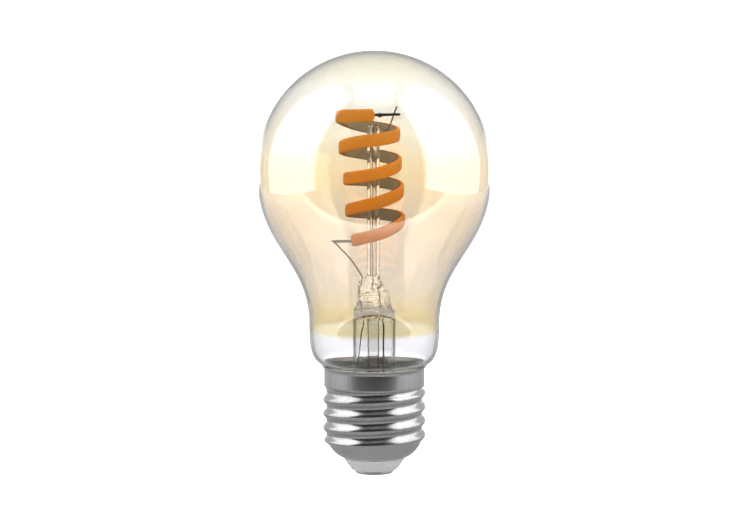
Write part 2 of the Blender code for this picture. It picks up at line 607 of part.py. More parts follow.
# ---------------------------------------------------------------- wires
def leads():
    reach = TAB_THICKNESS / 2 + CLEARANCE + LEAD_DIAMETER / 2
    side_reach = TAB_WIDTH / 2 + CLEARANCE + LEAD_DIAMETER / 2

    # The upper lead climbs the column's bore, dips, and rises past the outer face of the top tab.
    mouth = Vector((COLUMN_OFFSET, 0, COLUMN_TOP))
    weld = COIL_FRAME @ tab_point(1, TAB_JOIN, reach)
    across = Vector((weld.x - mouth.x, weld.y - mouth.y, 0))
    dip = weld.z - 4.4 * MM
    climb = [
        Vector((COLUMN_OFFSET, 0, COLUMN_FOOT + CLEARANCE)),
        mouth + Vector((0, 0, 0.2 * MM)),
        mouth + across * 0.14 + Vector((0, 0, 0.5 * MM)),
        Vector((*(mouth + across * 0.47).xy, dip - 0.4 * MM)),
        Vector((*(mouth + across * 0.64).xy, dip)),
        Vector((*(mouth + across * 0.78).xy, dip + 1.6 * MM)),
        weld + Vector((-0.1 * MM, 0, -0.3 * MM)),
        weld + Vector((0.3 * MM, 0, 1.1 * MM)),
    ]
    wire("upper_lead_top", climb, LEAD_DIAMETER, LEAD_NICKEL)

    # The lower lead leaves the press on the left and reaches up to the underside of the lower tab.
    foot = Vector((SEAL_LEFT_TOP, 0, STEM_TOP + CLEARANCE))
    join = COIL_FRAME @ tab_point(0, TAB_LENGTH - 0.4 * MM) - Vector((0, 0, side_reach))
    rise = join - foot
    reach_up = [foot]
    for share, lag in ((0.12, 0.10), (0.3, 0.12), (0.5, 0.09), (0.75, 0.04), (1.0, 0)):
        reach_up.append(foot + Vector((rise.x * (share - lag), rise.y * share, rise.z * share)))
    wire("upper_lead_bottom", reach_up, LEAD_DIAMETER, LEAD_NICKEL)

    for side, top, low in seal_lines():
        inset = (low - top).normalized() * CLEARANCE
        rod(f"seal_wire_{side}", top + inset, low - inset, LEAD_DIAMETER, LEAD_SEAL)

    # The lower leads run down inside the stem to the board's front face.
    pad = -(BOARD_FACE + LOWER_LEAD_RIGHT_DIAMETER / 2)
    pad_height = BOARD_TOP - 1.1 * MM
    tube = HOLLOW_TOP - CLEARANCE
    left_end = SEAL_LEFT_FOOT - 1.3 * MM
    left = [
        (SEAL_LEFT_FOOT, 0, tube),
        (SEAL_LEFT_FOOT + 0.3 * MM, 0, tube - 1.6 * MM),
        (SEAL_LEFT_FOOT - 0.3 * MM, 0, tube - 4.2 * MM),
        (SEAL_LEFT_FOOT - 0.7 * MM, -0.2 * MM, tube - 8.8 * MM),
        (SEAL_LEFT_FOOT - 1.1 * MM, -0.4 * MM, FLARE_EDGE + 5.6 * MM),
        (left_end, pad, FLARE_EDGE + 2.0 * MM),
        (left_end, pad, pad_height),
    ]
    wire("lower_lead_left", left, LEAD_DIAMETER, LEAD_COPPER)
    right = [
        (SEAL_RIGHT_FOOT, 0, tube),
        (SEAL_RIGHT_FOOT, 0, FLARE_EDGE + 5.6 * MM),
        (SEAL_RIGHT_FOOT, pad, FLARE_EDGE + 2.0 * MM),
        (SEAL_RIGHT_FOOT, pad, pad_height),
    ]
    wire("lower_lead_right", right, LOWER_LEAD_RIGHT_DIAMETER, LEAD_COPPER)

    sleeve_base = BOARD_TOP + CLEARANCE
    for side, x in (("left", left_end), ("right", SEAL_RIGHT_FOOT)):
        outer, inner = SLEEVE_DIAMETER / 2, SLEEVE_BORE / 2
        top = sleeve_base + SLEEVE_LENGTH
        wall = [(outer, top), (outer, sleeve_base), (inner, sleeve_base), (inner, top), (outer, top)]
        turned(f"lead_sleeve_{side}", wall, SLEEVE_FIBRE, steps=12, centre=(x, pad))


def mains_wires():
    """Insulated wire from the contact to the fuse, and a bare one from the board to the shell."""
    front = -(BOARD_FACE + MAINS_WIRE_DIAMETER / 2)
    start = CONTACT_SHANK_TOP + CLEARANCE
    fuse_side = -BOARD_HALF_WIDTH + 4.2 * MM
    live = [
        (0, 0, start),
        (0.25 * fuse_side, 0.6 * front, start + 0.6 * MM),
        (0.7 * fuse_side, front, start + 1.3 * MM),
        (fuse_side, front, start + 2.6 * MM),
        (fuse_side, front, start + 4.2 * MM),
    ]
    wire("live_wire", live, MAINS_WIRE_DIAMETER, WIRE_RED)

    front = -(BOARD_FACE + NEUTRAL_WIRE_DIAMETER / 2)
    reach = THREAD_ROOT - SHELL_WALL - CLEARANCE - NEUTRAL_WIRE_DIAMETER / 2
    height = (LINER_TOP + GLASS_END) / 2
    edge = BOARD_HALF_WIDTH - 1.2 * MM
    bearing = math.radians(-12)
    neutral = [
        (edge, front, BOARD_TOP - 1.4 * MM),
        (edge, front, height - 0.6 * MM),
        (edge + 0.6 * MM, front - 0.2 * MM, height),
        (reach * math.cos(bearing), reach * math.sin(bearing), height),
    ]
    wire("neutral_wire", neutral, NEUTRAL_WIRE_DIAMETER, WIRE_WHITE)


# ---------------------------------------------------------------- driver and radio
def driver():
    board_height = BOARD_TOP - BOARD_BASE
    middle = (BOARD_TOP + BOARD_BASE) / 2
    box("driver_board", (2 * BOARD_HALF_WIDTH, BOARD_THICKNESS, board_height), (0, 0, middle),
        BOARD_GREEN, bevel=0)

    fuse_x = -BOARD_HALF_WIDTH + 2.2 * MM
    fuse_y = -(BOARD_FACE + FUSE_DIAMETER / 2)
    fuse_base = BOARD_BASE + 0.5 * MM
    rod("fuse_resistor", (fuse_x, fuse_y, fuse_base), (fuse_x, fuse_y, fuse_base + FUSE_LENGTH),
        FUSE_DIAMETER, COMPONENT_BEIGE, sides=16)

    can_x = BOARD_HALF_WIDTH - 3.6 * MM
    can_y = -(BOARD_FACE + CAPACITOR_DIAMETER / 2)
    can_base = BOARD_BASE + 0.4 * MM
    rod("bulk_capacitor", (can_x, can_y, can_base), (can_x, can_y, can_base + CAPACITOR_LENGTH),
        CAPACITOR_DIAMETER, CAN_ALUMINIUM, sides=20)

    width, depth, height = RECTIFIER_SIZE
    base = can_base + CAPACITOR_LENGTH + 2 * CLEARANCE
    box("bridge_rectifier", RECTIFIER_SIZE,
        (BOARD_HALF_WIDTH - 0.8 * MM - width / 2, -(BOARD_FACE + depth / 2), base + height / 2),
        COMPONENT_BLACK)

    width, depth, height = CHIP_SIZE
    box("driver_chip", CHIP_SIZE,
        (-BOARD_HALF_WIDTH + 1.5 * MM + width / 2, BOARD_FACE + depth / 2, BOARD_BASE + height / 2),
        COMPONENT_BLACK)

    film_base = BOARD_BASE + CHIP_SIZE[2] + 2 * CLEARANCE
    width, depth, height = FILM_CAPACITOR_SIZE
    box("film_capacitor", FILM_CAPACITOR_SIZE,
        (-BOARD_HALF_WIDTH + 1.5 * MM + width / 2, BOARD_FACE + depth / 2, film_base + height / 2),
        COMPONENT_BEIGE)

    core_x = BOARD_HALF_WIDTH - 3.6 * MM
    core_y = BOARD_FACE + INDUCTOR_DIAMETER / 2
    flange, core = INDUCTOR_DIAMETER / 2, INDUCTOR_CORE_DIAMETER / 2
    base = BOARD_BASE + 1.2 * MM
    top = base + INDUCTOR_LENGTH
    drum = [
        (0, top),
        (flange, top),
        (flange, top - INDUCTOR_FLANGE),
        (core, top - INDUCTOR_FLANGE),
        (core, base + INDUCTOR_FLANGE),
        (flange, base + INDUCTOR_FLANGE),
        (flange, base),
        (0, base),
    ]
    turned("power_inductor", drum, COMPONENT_BLACK, steps=16, centre=(core_x, core_y))
    inner = core + BORE_CLEARANCE
    outer = flange - BORE_CLEARANCE
    upper = top - INDUCTOR_FLANGE - CLEARANCE
    lower = base + INDUCTOR_FLANGE + CLEARANCE
    winding = [(outer, upper), (outer, lower), (inner, lower), (inner, upper), (outer, upper)]
    turned("inductor_winding", winding, WINDING_COPPER, steps=16, centre=(core_x, core_y))


def radio():
    """A small board that stands behind the driver board on a pin header, with a metal can on it."""
    header_width, header_height = HEADER_SIZE
    header_z = BOARD_TOP - 0.6 * MM - header_height / 2
    box("board_header", (header_width, HEADER_LENGTH, header_height),
        (0, BOARD_FACE + HEADER_LENGTH / 2, header_z), COMPONENT_BLACK)

    width, depth, height = WIRELESS_SIZE
    board_z = BOARD_TOP - 0.4 * MM - height / 2
    box("wireless_board", WIRELESS_SIZE, (0, WIRELESS_FACE + depth / 2, board_z), BOARD_BLACK, bevel=0)

    can_face = WIRELESS_FACE + depth + CLEARANCE
    box("radio_shield", SHIELD_SIZE, (0, can_face + SHIELD_SIZE[1] / 2, board_z - 0.6 * MM),
        CAN_ALUMINIUM)


envelope()
cap_shell()
contact_and_insulator()
cement_and_liner()
stem()
tubes()
filament()
leads()
mains_wires()
driver()
radio()
bpy.context.view_layer.update()
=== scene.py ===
# %% [markdown]
# # A golden filament lamp, piece by piece
# The lamp is a blown glass envelope on a rolled metal screw cap. A glass stem inside it holds up a
# coiled filament, and a small driver with a radio sits in the cap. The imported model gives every
# place and size. This lesson rebuilds each visible piece finely around it.

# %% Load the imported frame
import math

import bmesh
import bpy
import numpy as np
from mathutils import Matrix, Vector, noise


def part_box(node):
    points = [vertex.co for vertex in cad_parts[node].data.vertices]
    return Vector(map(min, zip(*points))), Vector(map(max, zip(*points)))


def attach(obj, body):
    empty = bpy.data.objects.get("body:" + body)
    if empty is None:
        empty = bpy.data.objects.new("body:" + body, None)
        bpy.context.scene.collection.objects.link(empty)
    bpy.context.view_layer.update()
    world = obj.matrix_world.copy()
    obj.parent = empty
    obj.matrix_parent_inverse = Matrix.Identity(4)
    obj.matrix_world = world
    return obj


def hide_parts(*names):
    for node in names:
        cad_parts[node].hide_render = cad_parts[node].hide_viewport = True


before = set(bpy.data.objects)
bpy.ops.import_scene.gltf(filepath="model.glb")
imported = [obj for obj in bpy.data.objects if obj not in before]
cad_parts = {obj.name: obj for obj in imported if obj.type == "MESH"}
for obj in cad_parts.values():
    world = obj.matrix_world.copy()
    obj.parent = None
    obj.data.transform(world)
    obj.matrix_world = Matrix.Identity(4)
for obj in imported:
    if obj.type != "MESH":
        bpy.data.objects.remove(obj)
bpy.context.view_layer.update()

MM = 0.001
print("nodes in the frame:", len(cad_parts))

# %% [markdown]
# ## The camera
# A long lens from a metre away keeps the sides of the lamp nearly parallel. It looks slightly
# down, so that the rim of the cap shows as a flat curve.

# %% Camera
CAMERA_RISE = math.radians(7)
CAMERA_DISTANCE = 1.0
FRAME_WIDTH = 190.6 * MM          # width of the view at the lamp's axis
AIM = Vector((0.18 * MM, 0, 53.8 * MM))

camera_data = bpy.data.cameras.new("camera")
camera_data.sensor_width = 36
camera_data.lens = 36 * CAMERA_DISTANCE / FRAME_WIDTH
camera_data.clip_start = 0.05
camera_data.clip_end = 20
camera = bpy.data.objects.new("camera", camera_data)
bpy.context.scene.collection.objects.link(camera)
behind = Vector((0, -math.cos(CAMERA_RISE), math.sin(CAMERA_RISE)))
camera.location = AIM + behind * CAMERA_DISTANCE
camera.rotation_euler = (-behind).to_track_quat("-Z", "Y").to_euler()
bpy.context.scene.camera = camera
print("lens in mm:", round(camera_data.lens, 1))

# %% [markdown]
# ## Node helpers
# Trees of nodes are easier to read when each line makes one node. `add` makes a node, sets it and
# connects it: a socket that is given is linked, and a plain value is set. `sum_of` and its
# relatives are one Math node each. They work in shader trees and in geometry trees.

# %% Node helpers
def add(tree, kind, inputs=(), **settings):
    node = tree.nodes.new(kind)
    for setting, value in settings.items():
        setattr(node, setting, value)
    for socket, value in dict(inputs).items():
        if isinstance(value, bpy.types.NodeSocket):
            tree.links.new(value, node.inputs[socket])
        else:
            node.inputs[socket].default_value = value
    return node


def maths(tree, operation, *values):
    return add(tree, "ShaderNodeMath", enumerate(values), operation=operation).outputs[0]


def smooth_step(tree, value, start, end, low=0.0, high=1.0):
    """A soft step from low to high while the value goes from start to end."""
    step = add(tree, "ShaderNodeMapRange", {0: value, 1: start, 2: end, 3: low, 4: high})
    step.interpolation_type = "SMOOTHSTEP"
    return step.outputs[0]


def socket_row(tree, direction, sockets):
    kinds = {"geometry": "NodeSocketGeometry", "number": "NodeSocketFloat",
             "count": "NodeSocketInt", "material": "NodeSocketMaterial",
             "vector": "NodeSocketVector", "colour": "NodeSocketColor"}
    for label, (kind, value) in sockets.items():
        made = tree.interface.new_socket(label, in_out=direction, socket_type=kinds[kind])
        if value is not None:
            made.default_value = value


# %% [markdown]
# ## The studio
# A glass lamp is mostly a picture of the room round it. Two tall white panels stand left and
# right at the ends of a white table, the room behind the viewer is dark, and the wall behind the
# lamp is grey. The far room is painted on the World by direction. The panels and the table are
# near, so they are real surfaces. Each one glows by its own shader and reads the Light Path:
# light that was reflected or scattered sees the room, while a straight look, also one through
# clear glass, sees plain white. So the panels never stand in the way of a side view. Light that
# was bent by more glass than the envelope's two walls sees the panels too, and less white beside
# them. That gives the stem and its column their grey lines. Through one solid lump of glass the
# room looks brighter still, which gives the pinched press its bright facets.

# %% Studio lights
PANEL_LIGHT = 2.0
SIDE_LIGHT = 0.55
BACKDROP_LIGHT = 1.5
DARK_LIGHT = 0.04
CEILING_LIGHT = 1.15
TABLE_LIGHT = 0.40
TABLE_END_LIGHT = 0.70
TABLE_BACK_LIGHT = 0.62
TABLE_FRONT_LIGHT = 0.8
FILL_LIGHT = 2.8
PLAIN_WHITE = 2.0
BENT_SIDE = 1.3                   # what light bent by the stem sees beside and in front of the lamp
PRESS_GLOW = 0.45                 # how much brighter it looks through one solid lump of glass

# Spans in degrees. A bearing is counted from the front of the lamp, a height from the horizon.
SIDE_BEARING = (60, 90)
BACKDROP_BEARING = (142, 152)
BACKDROP_HEIGHT = (-2, 8)
CEILING_HEIGHT = (58, 88)
CEILING_BEARING = (90, 150)
FILL_BEARING = (20, 80)
BESIDE_BEARING = (110, 145)
scene = bpy.context.scene


def light_shares(tree):
    """Each 1 or 0: reflected or scattered on its way, scattered, bent by more than the envelope, and
    bent by the envelope and one solid lump, such as the stem's press. The envelope bends it 4 times."""
    path = add(tree, "ShaderNodeLightPath").outputs
    scattered = maths(tree, "MINIMUM", path["Diffuse Depth"], 1.0)
    bounced = maths(tree, "MINIMUM", maths(tree, "ADD", path["Diffuse Depth"], path["Glossy Depth"]), 1.0)
    bent = maths(tree, "GREATER_THAN", path["Transmission Depth"], 4.5)
    pressed = maths(tree, "MULTIPLY", bent, maths(tree, "LESS_THAN", path["Transmission Depth"], 6.5))
    return bounced, scattered, bent, pressed


def mixed(tree, share, one, two):
    return add(tree, "ShaderNodeMix", {0: share, 2: one, 3: two}, data_type="FLOAT").outputs[0]


def straight_look(tree, bent, pressed, beside):
    """What a look that never bounced sees: plain white, or what lies beside the lamp if it was bent."""
    glow = maths(tree, "MULTIPLY_ADD", pressed, PRESS_GLOW, 1.0)
    return maths(tree, "MULTIPLY", mixed(tree, bent, PLAIN_WHITE, beside), glow)


def paint_room():
    world = bpy.data.worlds.new("studio")
    scene.world = world
    world.use_nodes = True
    world.cycles.sampling_method = "NONE"
    tree = world.node_tree
    tree.nodes.clear()
    where = add(tree, "ShaderNodeTexCoord").outputs["Generated"]
    xyz = add(tree, "ShaderNodeSeparateXYZ", {0: where}).outputs
    front = maths(tree, "MULTIPLY", xyz["Y"], -1.0)
    degrees = 180 / math.pi
    bearing = maths(tree, "MULTIPLY", maths(tree, "ARCTAN2", xyz["X"], front), degrees)
    bearing = maths(tree, "ABSOLUTE", bearing)
    height = maths(tree, "MULTIPLY", maths(tree, "ARCSINE", xyz["Z"]), degrees)

    side = smooth_step(tree, bearing, *SIDE_BEARING, DARK_LIGHT, SIDE_LIGHT)
    backdrop = maths(tree, "MULTIPLY", smooth_step(tree, bearing, *BACKDROP_BEARING, 0, BACKDROP_LIGHT),
                     smooth_step(tree, height, *BACKDROP_HEIGHT, 1, 0))
    ceiling = maths(tree, "MULTIPLY", smooth_step(tree, height, *CEILING_HEIGHT, 0, CEILING_LIGHT),
                    smooth_step(tree, bearing, *CEILING_BEARING, 1, 0.6))
    room = maths(tree, "MAXIMUM", maths(tree, "MAXIMUM", side, backdrop), ceiling)
    bounced, scattered, bent, pressed = light_shares(tree)
    fill = smooth_step(tree, bearing, *FILL_BEARING, 0.72 * FILL_LIGHT, 1.1 * FILL_LIGHT)
    room = maths(tree, "MULTIPLY_ADD", scattered, fill, room)
    beside = smooth_step(tree, bearing, *BESIDE_BEARING, BENT_SIDE, PLAIN_WHITE)
    straight = straight_look(tree, bent, pressed, beside)
    light = add(tree, "ShaderNodeBackground",
                {"Color": (1, 1, 1, 1), "Strength": mixed(tree, bounced, straight, room)})
    add(tree, "ShaderNodeOutputWorld", {0: light.outputs[0]})


paint_room()
scene.view_settings.view_transform = "Standard"
scene.cycles.max_bounces = 32
scene.cycles.transmission_bounces = 32
scene.cycles.glossy_bounces = 12
print("panels:", PANEL_LIGHT, "table:", TABLE_LIGHT, "straight look:", PLAIN_WHITE)

# %% Panels and table
PANEL_PLACE = 313 * MM
PANEL_HEIGHT = 1200 * MM
PANEL_BACK = 190 * MM
LEFT_PANEL_FRONT = -222 * MM
RIGHT_PANEL_FRONT = -292 * MM
PANEL_EDGE_FADE = 60 * MM
PANEL_RISE = (50 * MM, 400 * MM)
PANEL_TOP_FADE = (0.35 * PANEL_HEIGHT, 0.9 * PANEL_HEIGHT)
TABLE_FRONT = -101 * MM
TABLE_BACK = 480 * MM
TABLE_END_SPAN = (130 * MM, 260 * MM)        # sideways, where the table's ends get brighter
TABLE_BACK_SPAN = (30 * MM, 220 * MM)
TABLE_FRONT_SPAN = (-93 * MM, -66 * MM)
TABLE_BESIDE_SPAN = (-40 * MM, 120 * MM)


def glow(name):
    made = bpy.data.materials.new(name)
    made.use_nodes = True
    made.cycles.emission_sampling = "NONE"
    made.node_tree.nodes.clear()
    return made, made.node_tree


def flat_card(name, corners, paint):
    mesh = bpy.data.meshes.new(name)
    mesh.from_pydata(corners, [], [(0, 1, 2, 3)])
    mesh.materials.append(paint)
    made = bpy.data.objects.new(name, mesh)
    scene.collection.objects.link(made)
    return made


def panel_paint(side, front):
    """White with a soft front edge and a soft top. Scattered light gets more of it."""
    made, tree = glow(f"panel_{side}_white")
    bounced, scattered, bent, _ = light_shares(tree)
    clear = add(tree, "ShaderNodeBsdfTransparent").outputs[0]
    where = add(tree, "ShaderNodeTexCoord").outputs["Object"]
    xyz = add(tree, "ShaderNodeSeparateXYZ", {0: where}).outputs
    light = smooth_step(tree, xyz["Z"], *PANEL_RISE, 0.62 * PANEL_LIGHT, 0.9 * PANEL_LIGHT)
    for fade in (smooth_step(tree, xyz["Z"], *PANEL_TOP_FADE, 1, 0.2),
                 smooth_step(tree, xyz["Y"], front, front + PANEL_EDGE_FADE, 0.1, 1),
                 maths(tree, "ADD", scattered, 1.0)):
        light = maths(tree, "MULTIPLY", light, fade)
    lit = add(tree, "ShaderNodeEmission", {"Color": (1, 1, 1, 1), "Strength": light})
    seen = maths(tree, "MAXIMUM", bounced, bent)
    mix = add(tree, "ShaderNodeMixShader", {0: seen, 1: clear, 2: lit.outputs[0]})
    add(tree, "ShaderNodeOutputMaterial", {0: mix.outputs[0]})
    return made


def table_paint():
    """White all over, and brighter at its two ends, towards the wall and along its front edge."""
    made, tree = glow("table_white")
    where = add(tree, "ShaderNodeTexCoord").outputs["Object"]
    xyz = add(tree, "ShaderNodeSeparateXYZ", {0: where}).outputs
    across = maths(tree, "ABSOLUTE", xyz["X"])
    lit = smooth_step(tree, across, *TABLE_END_SPAN, TABLE_LIGHT, TABLE_END_LIGHT)
    for light in (smooth_step(tree, xyz["Y"], *TABLE_BACK_SPAN, TABLE_LIGHT, TABLE_BACK_LIGHT),
                  smooth_step(tree, xyz["Y"], *TABLE_FRONT_SPAN, TABLE_FRONT_LIGHT, TABLE_LIGHT)):
        lit = maths(tree, "MAXIMUM", lit, light)
    bounced, _, bent, pressed = light_shares(tree)
    beside = smooth_step(tree, xyz["Y"], *TABLE_BESIDE_SPAN, BENT_SIDE, PLAIN_WHITE)
    straight = straight_look(tree, bent, pressed, beside)
    shine = add(tree, "ShaderNodeEmission",
                {"Color": (1, 1, 1, 1), "Strength": mixed(tree, bounced, straight, lit)})
    add(tree, "ShaderNodeOutputMaterial", {0: shine.outputs[0]})
    return made


def studio_cards():
    for side, x, front in (("left", -PANEL_PLACE, LEFT_PANEL_FRONT),
                           ("right", PANEL_PLACE, RIGHT_PANEL_FRONT)):
        flat_card(f"panel_{side}", [(x, front, 0), (x, PANEL_BACK, 0), (x, PANEL_BACK, PANEL_HEIGHT),
                                    (x, front, PANEL_HEIGHT)], panel_paint(side, front))
    flat_card("white_table", [(-PANEL_PLACE, TABLE_FRONT, 0), (PANEL_PLACE, TABLE_FRONT, 0),
                              (PANEL_PLACE, TABLE_BACK, 0), (-PANEL_PLACE, TABLE_BACK, 0)],
              table_paint())


studio_cards()

# %% [markdown]
# ## Mesh helpers
# `solid` makes an object from points and faces, and turns the faces outwards by the sign of the
# enclosed volume. `lathe` turns a profile of (radius, height) pairs about an upright line. Where
# the profile touches that line it closes in one point, so there is no pinhole at a pole.
# `even` draws a smooth curve through a few given values without overshooting them.

# %% Mesh helpers
def solid(name, points, faces, finish, closed=True, sharp=40):
    mesh = bpy.data.meshes.new(name)
    mesh.from_pydata([tuple(p) for p in points], [], faces)
    mesh.calc_loop_triangles()
    if closed:
        volume = sum(
            Vector(points[a]).dot(Vector(points[b]).cross(Vector(points[c])))
            for a, b, c in (t.vertices for t in mesh.loop_triangles)
        )
        if volume < 0:
            mesh.flip_normals()
    mesh.shade_smooth()
    mesh.set_sharp_from_angle(angle=math.radians(sharp))
    if finish:
        mesh.materials.append(finish)
    made = bpy.data.objects.new(name, mesh)
    scene.collection.objects.link(made)
    return made


def lathe(name, profile, finish, sides=96, centre=(0, 0), closed=True, shift=None, sharp=40):
    """Turn a profile. A profile that ends on its first point is a ring. shift moves each point."""
    ring = profile[0] == profile[-1]
    rows = profile[:-1] if ring else profile
    points, index = [], []
    for radius, height in rows:
        row = []
        for k in range(1 if radius < 1e-7 else sides):
            angle = 2 * math.pi * k / sides
            point = Vector((radius * math.cos(angle), radius * math.sin(angle), height))
            if shift:
                point = shift(point)
            row.append(len(points))
            points.append(point + Vector((*centre, 0)))
        index.append(row)
    faces = []
    pairs = list(zip(index, index[1:])) + ([(index[-1], index[0])] if ring else [])
    for one, two in pairs:
        for k in range(sides):
            a, b = one[k % len(one)], one[(k + 1) % len(one)]
            c, d = two[(k + 1) % len(two)], two[k % len(two)]
            face = [a, b, c, d]
            faces.append([v for n, v in enumerate(face) if v not in face[:n]])
    return solid(name, points, faces, finish, closed, sharp)


def even(places, values):
    """A function through the values at the places, which never overshoots between two of them."""
    places, values = np.array(places, float), np.array(values, float)
    gaps, slopes = np.diff(places), np.diff(values) / np.diff(places)
    rises = np.concatenate([[slopes[0]], np.zeros(len(places) - 2), [slopes[-1]]])
    for k in range(1, len(places) - 1):
        if slopes[k - 1] * slopes[k] > 0:
            one, two = 2 * gaps[k] + gaps[k - 1], gaps[k] + 2 * gaps[k - 1]
            rises[k] = (one + two) / (one / slopes[k - 1] + two / slopes[k])

    def at(place):
        k = int(np.clip(np.searchsorted(places, place) - 1, 0, len(gaps) - 1))
        t = min(max((place - places[k]) / gaps[k], 0), 1)
        return float(
            values[k] * (1 + 2 * t) * (1 - t) ** 2 + rises[k] * gaps[k] * t * (1 - t) ** 2
            + values[k + 1] * t * t * (3 - 2 * t) + rises[k + 1] * gaps[k] * t * t * (t - 1)
        )

    return at


def through(points, steps):
    """A smooth path through a list of points, with even steps in each span."""
    points = [Vector(p) for p in points]
    found = [points[0]]
    for k in range(len(points) - 1):
        p1, p2 = points[k], points[k + 1]
        p0 = points[k - 1] if k else p1 * 2 - p2
        p3 = points[k + 2] if k + 2 < len(points) else p2 * 2 - p1
        for n in range(1, steps + 1):
            t = n / steps
            found.append(0.5 * (2 * p1 + (p2 - p0) * t + (2 * p0 - 5 * p1 + 4 * p2 - p3) * t * t
                                + (3 * p1 - p0 - 3 * p2 + p3) * t ** 3))
    return found


def bezier(start, first, second, end, steps):
    """Points of a cubic curve after its start, up to and including its end."""
    found = []
    for n in range(1, steps + 1):
        t = n / steps
        weights = ((1 - t) ** 3, 3 * (1 - t) ** 2 * t, 3 * (1 - t) * t * t, t ** 3)
        found.append(tuple(sum(w * p[k] for w, p in zip(weights, (start, first, second, end)))
                           for k in (0, 1)))
    return found


def keep(piece, slot, *nodes):
    """Every finished piece rides on the one rigid body and stands for its CAD nodes."""
    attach(piece, "root")
    if nodes:
        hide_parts(*nodes)
    print(f"{piece.name}: {len(piece.data.polygons)} faces")
    return piece


# %% [markdown]
# ## Geometry Nodes helpers
# What repeats or follows a path is grown by a node tree with named inputs. `grow` puts the tree
# on a start mesh, sets each input by its socket's identifier, lets Blender work it out once, and
# keeps the result as a plain mesh without a modifier.

# %% Geometry Nodes helpers
def geometry_tree(name, sockets):
    tree = bpy.data.node_groups.new(name, "GeometryNodeTree")
    socket_row(tree, "INPUT", {"Geometry": ("geometry", None), **sockets,
                               "Finish": ("material", None)})
    socket_row(tree, "OUTPUT", {"Geometry": ("geometry", None)})
    return tree, add(tree, "NodeGroupInput").outputs


def end_tree(tree, geometry, given):
    real = add(tree, "GeometryNodeRealizeInstances", {0: geometry}).outputs[0]
    smooth = add(tree, "GeometryNodeSetShadeSmooth", {"Geometry": real}).outputs[0]
    painted = add(tree, "GeometryNodeSetMaterial", {"Geometry": smooth, "Material": given["Finish"]})
    add(tree, "NodeGroupOutput", {0: painted.outputs[0]})


def plain(name, source):
    """The evaluated object as a plain mesh object at the origin. The source is removed."""
    bpy.context.view_layer.update()
    graph = bpy.context.evaluated_depsgraph_get()
    mesh = bpy.data.meshes.new_from_object(source.evaluated_get(graph))
    bpy.data.objects.remove(source)
    mesh.name = name
    made = bpy.data.objects.new(name, mesh)
    scene.collection.objects.link(made)
    return made


def grow(name, tree, start, finish, sharp=40, **sizes):
    source = bpy.data.objects.new(name + "_start", start)
    scene.collection.objects.link(source)
    step = source.modifiers.new("grow", "NODES")
    step.node_group = tree
    values = {key.replace("_", " "): value for key, value in sizes.items()} | {"Finish": finish}
    for socket in tree.interface.items_tree:
        if socket.in_out == "INPUT" and socket.name in values:
            step[socket.identifier] = values[socket.name]
    made = plain(name, source)
    made.data.set_sharp_from_angle(angle=math.radians(sharp))
    return made


def path_mesh(name, points):
    mesh = bpy.data.meshes.new(name)
    mesh.from_pydata([tuple(p) for p in points], [(k, k + 1) for k in range(len(points) - 1)], [])
    return mesh


# %% [markdown]
# ## Shared effects
# Three effects come back in many finishes, so each is a shader node group that is built once.
# *drawn metal* gives the fine streaks and the dull patches of metal that was drawn, rolled or
# handled. *fine grain* gives the grain of moulded, fired or fibrous stuff. *glass ripple* gives
# the faint waviness of blown and tooled glass. They put out values and heights only.

# %% Shared effects
def shader_group(name, inputs, outputs):
    tree = bpy.data.node_groups.new(name, "ShaderNodeTree")
    socket_row(tree, "INPUT", inputs)
    socket_row(tree, "OUTPUT", outputs)
    return tree, add(tree, "NodeGroupInput").outputs


def object_place(tree, scale=(1, 1, 1), turn=(0, 0, 0)):
    where = add(tree, "ShaderNodeTexCoord").outputs["Object"]
    return add(tree, "ShaderNodeMapping", {0: where, "Rotation": turn, "Scale": scale}).outputs[0]


def noise_of(tree, place, scale, detail=3.0, rough=0.55):
    return add(tree, "ShaderNodeTexNoise", {"Vector": place, "Scale": scale, "Detail": detail,
                                            "Roughness": rough}).outputs[0]


def drawn_metal():
    tree, given = shader_group(
        "drawn_metal",
        {"Streaks": ("number", 900.0), "Length": ("number", 0.03), "Patches": ("number", 60.0)},
        {"Streak": ("number", None), "Patch": ("number", None), "Height": ("number", None)})
    where = add(tree, "ShaderNodeTexCoord").outputs["Object"]
    xyz = add(tree, "ShaderNodeSeparateXYZ", {0: where}).outputs
    tall = maths(tree, "MULTIPLY", xyz["Z"], given["Length"])
    place = add(tree, "ShaderNodeCombineXYZ", {0: xyz["X"], 1: xyz["Y"], 2: tall}).outputs[0]
    streak = noise_of(tree, place, given["Streaks"], 2.0)
    patch = noise_of(tree, where, given["Patches"], 4.0)
    both = maths(tree, "ADD", streak, maths(tree, "MULTIPLY", patch, 0.3))
    add(tree, "NodeGroupOutput", {0: streak, 1: patch, 2: both})
    return tree


def fine_grain():
    tree, given = shader_group(
        "fine_grain",
        {"Grain": ("number", 3000.0), "Cloud": ("number", 200.0)},
        {"Grain": ("number", None), "Cloud": ("number", None), "Height": ("number", None)})
    where = add(tree, "ShaderNodeTexCoord").outputs["Object"]
    grain = noise_of(tree, where, given["Grain"], 2.0)
    cloud = noise_of(tree, where, given["Cloud"], 4.0)
    both = maths(tree, "ADD", grain, maths(tree, "MULTIPLY", cloud, 0.6))
    add(tree, "NodeGroupOutput", {0: grain, 1: cloud, 2: both})
    return tree


def glass_ripple():
    tree, given = shader_group(
        "glass_ripple",
        {"Ripple": ("number", 40.0), "Seed": ("number", 400.0)},
        {"Height": ("number", None), "Cloud": ("number", None)})
    where = add(tree, "ShaderNodeTexCoord").outputs["Object"]
    wave = noise_of(tree, where, given["Ripple"], 1.0)
    small = noise_of(tree, where, given["Seed"], 1.0)
    both = maths(tree, "ADD", wave, maths(tree, "MULTIPLY", small, 0.05))
    add(tree, "NodeGroupOutput", {0: both, 1: wave})
    return tree


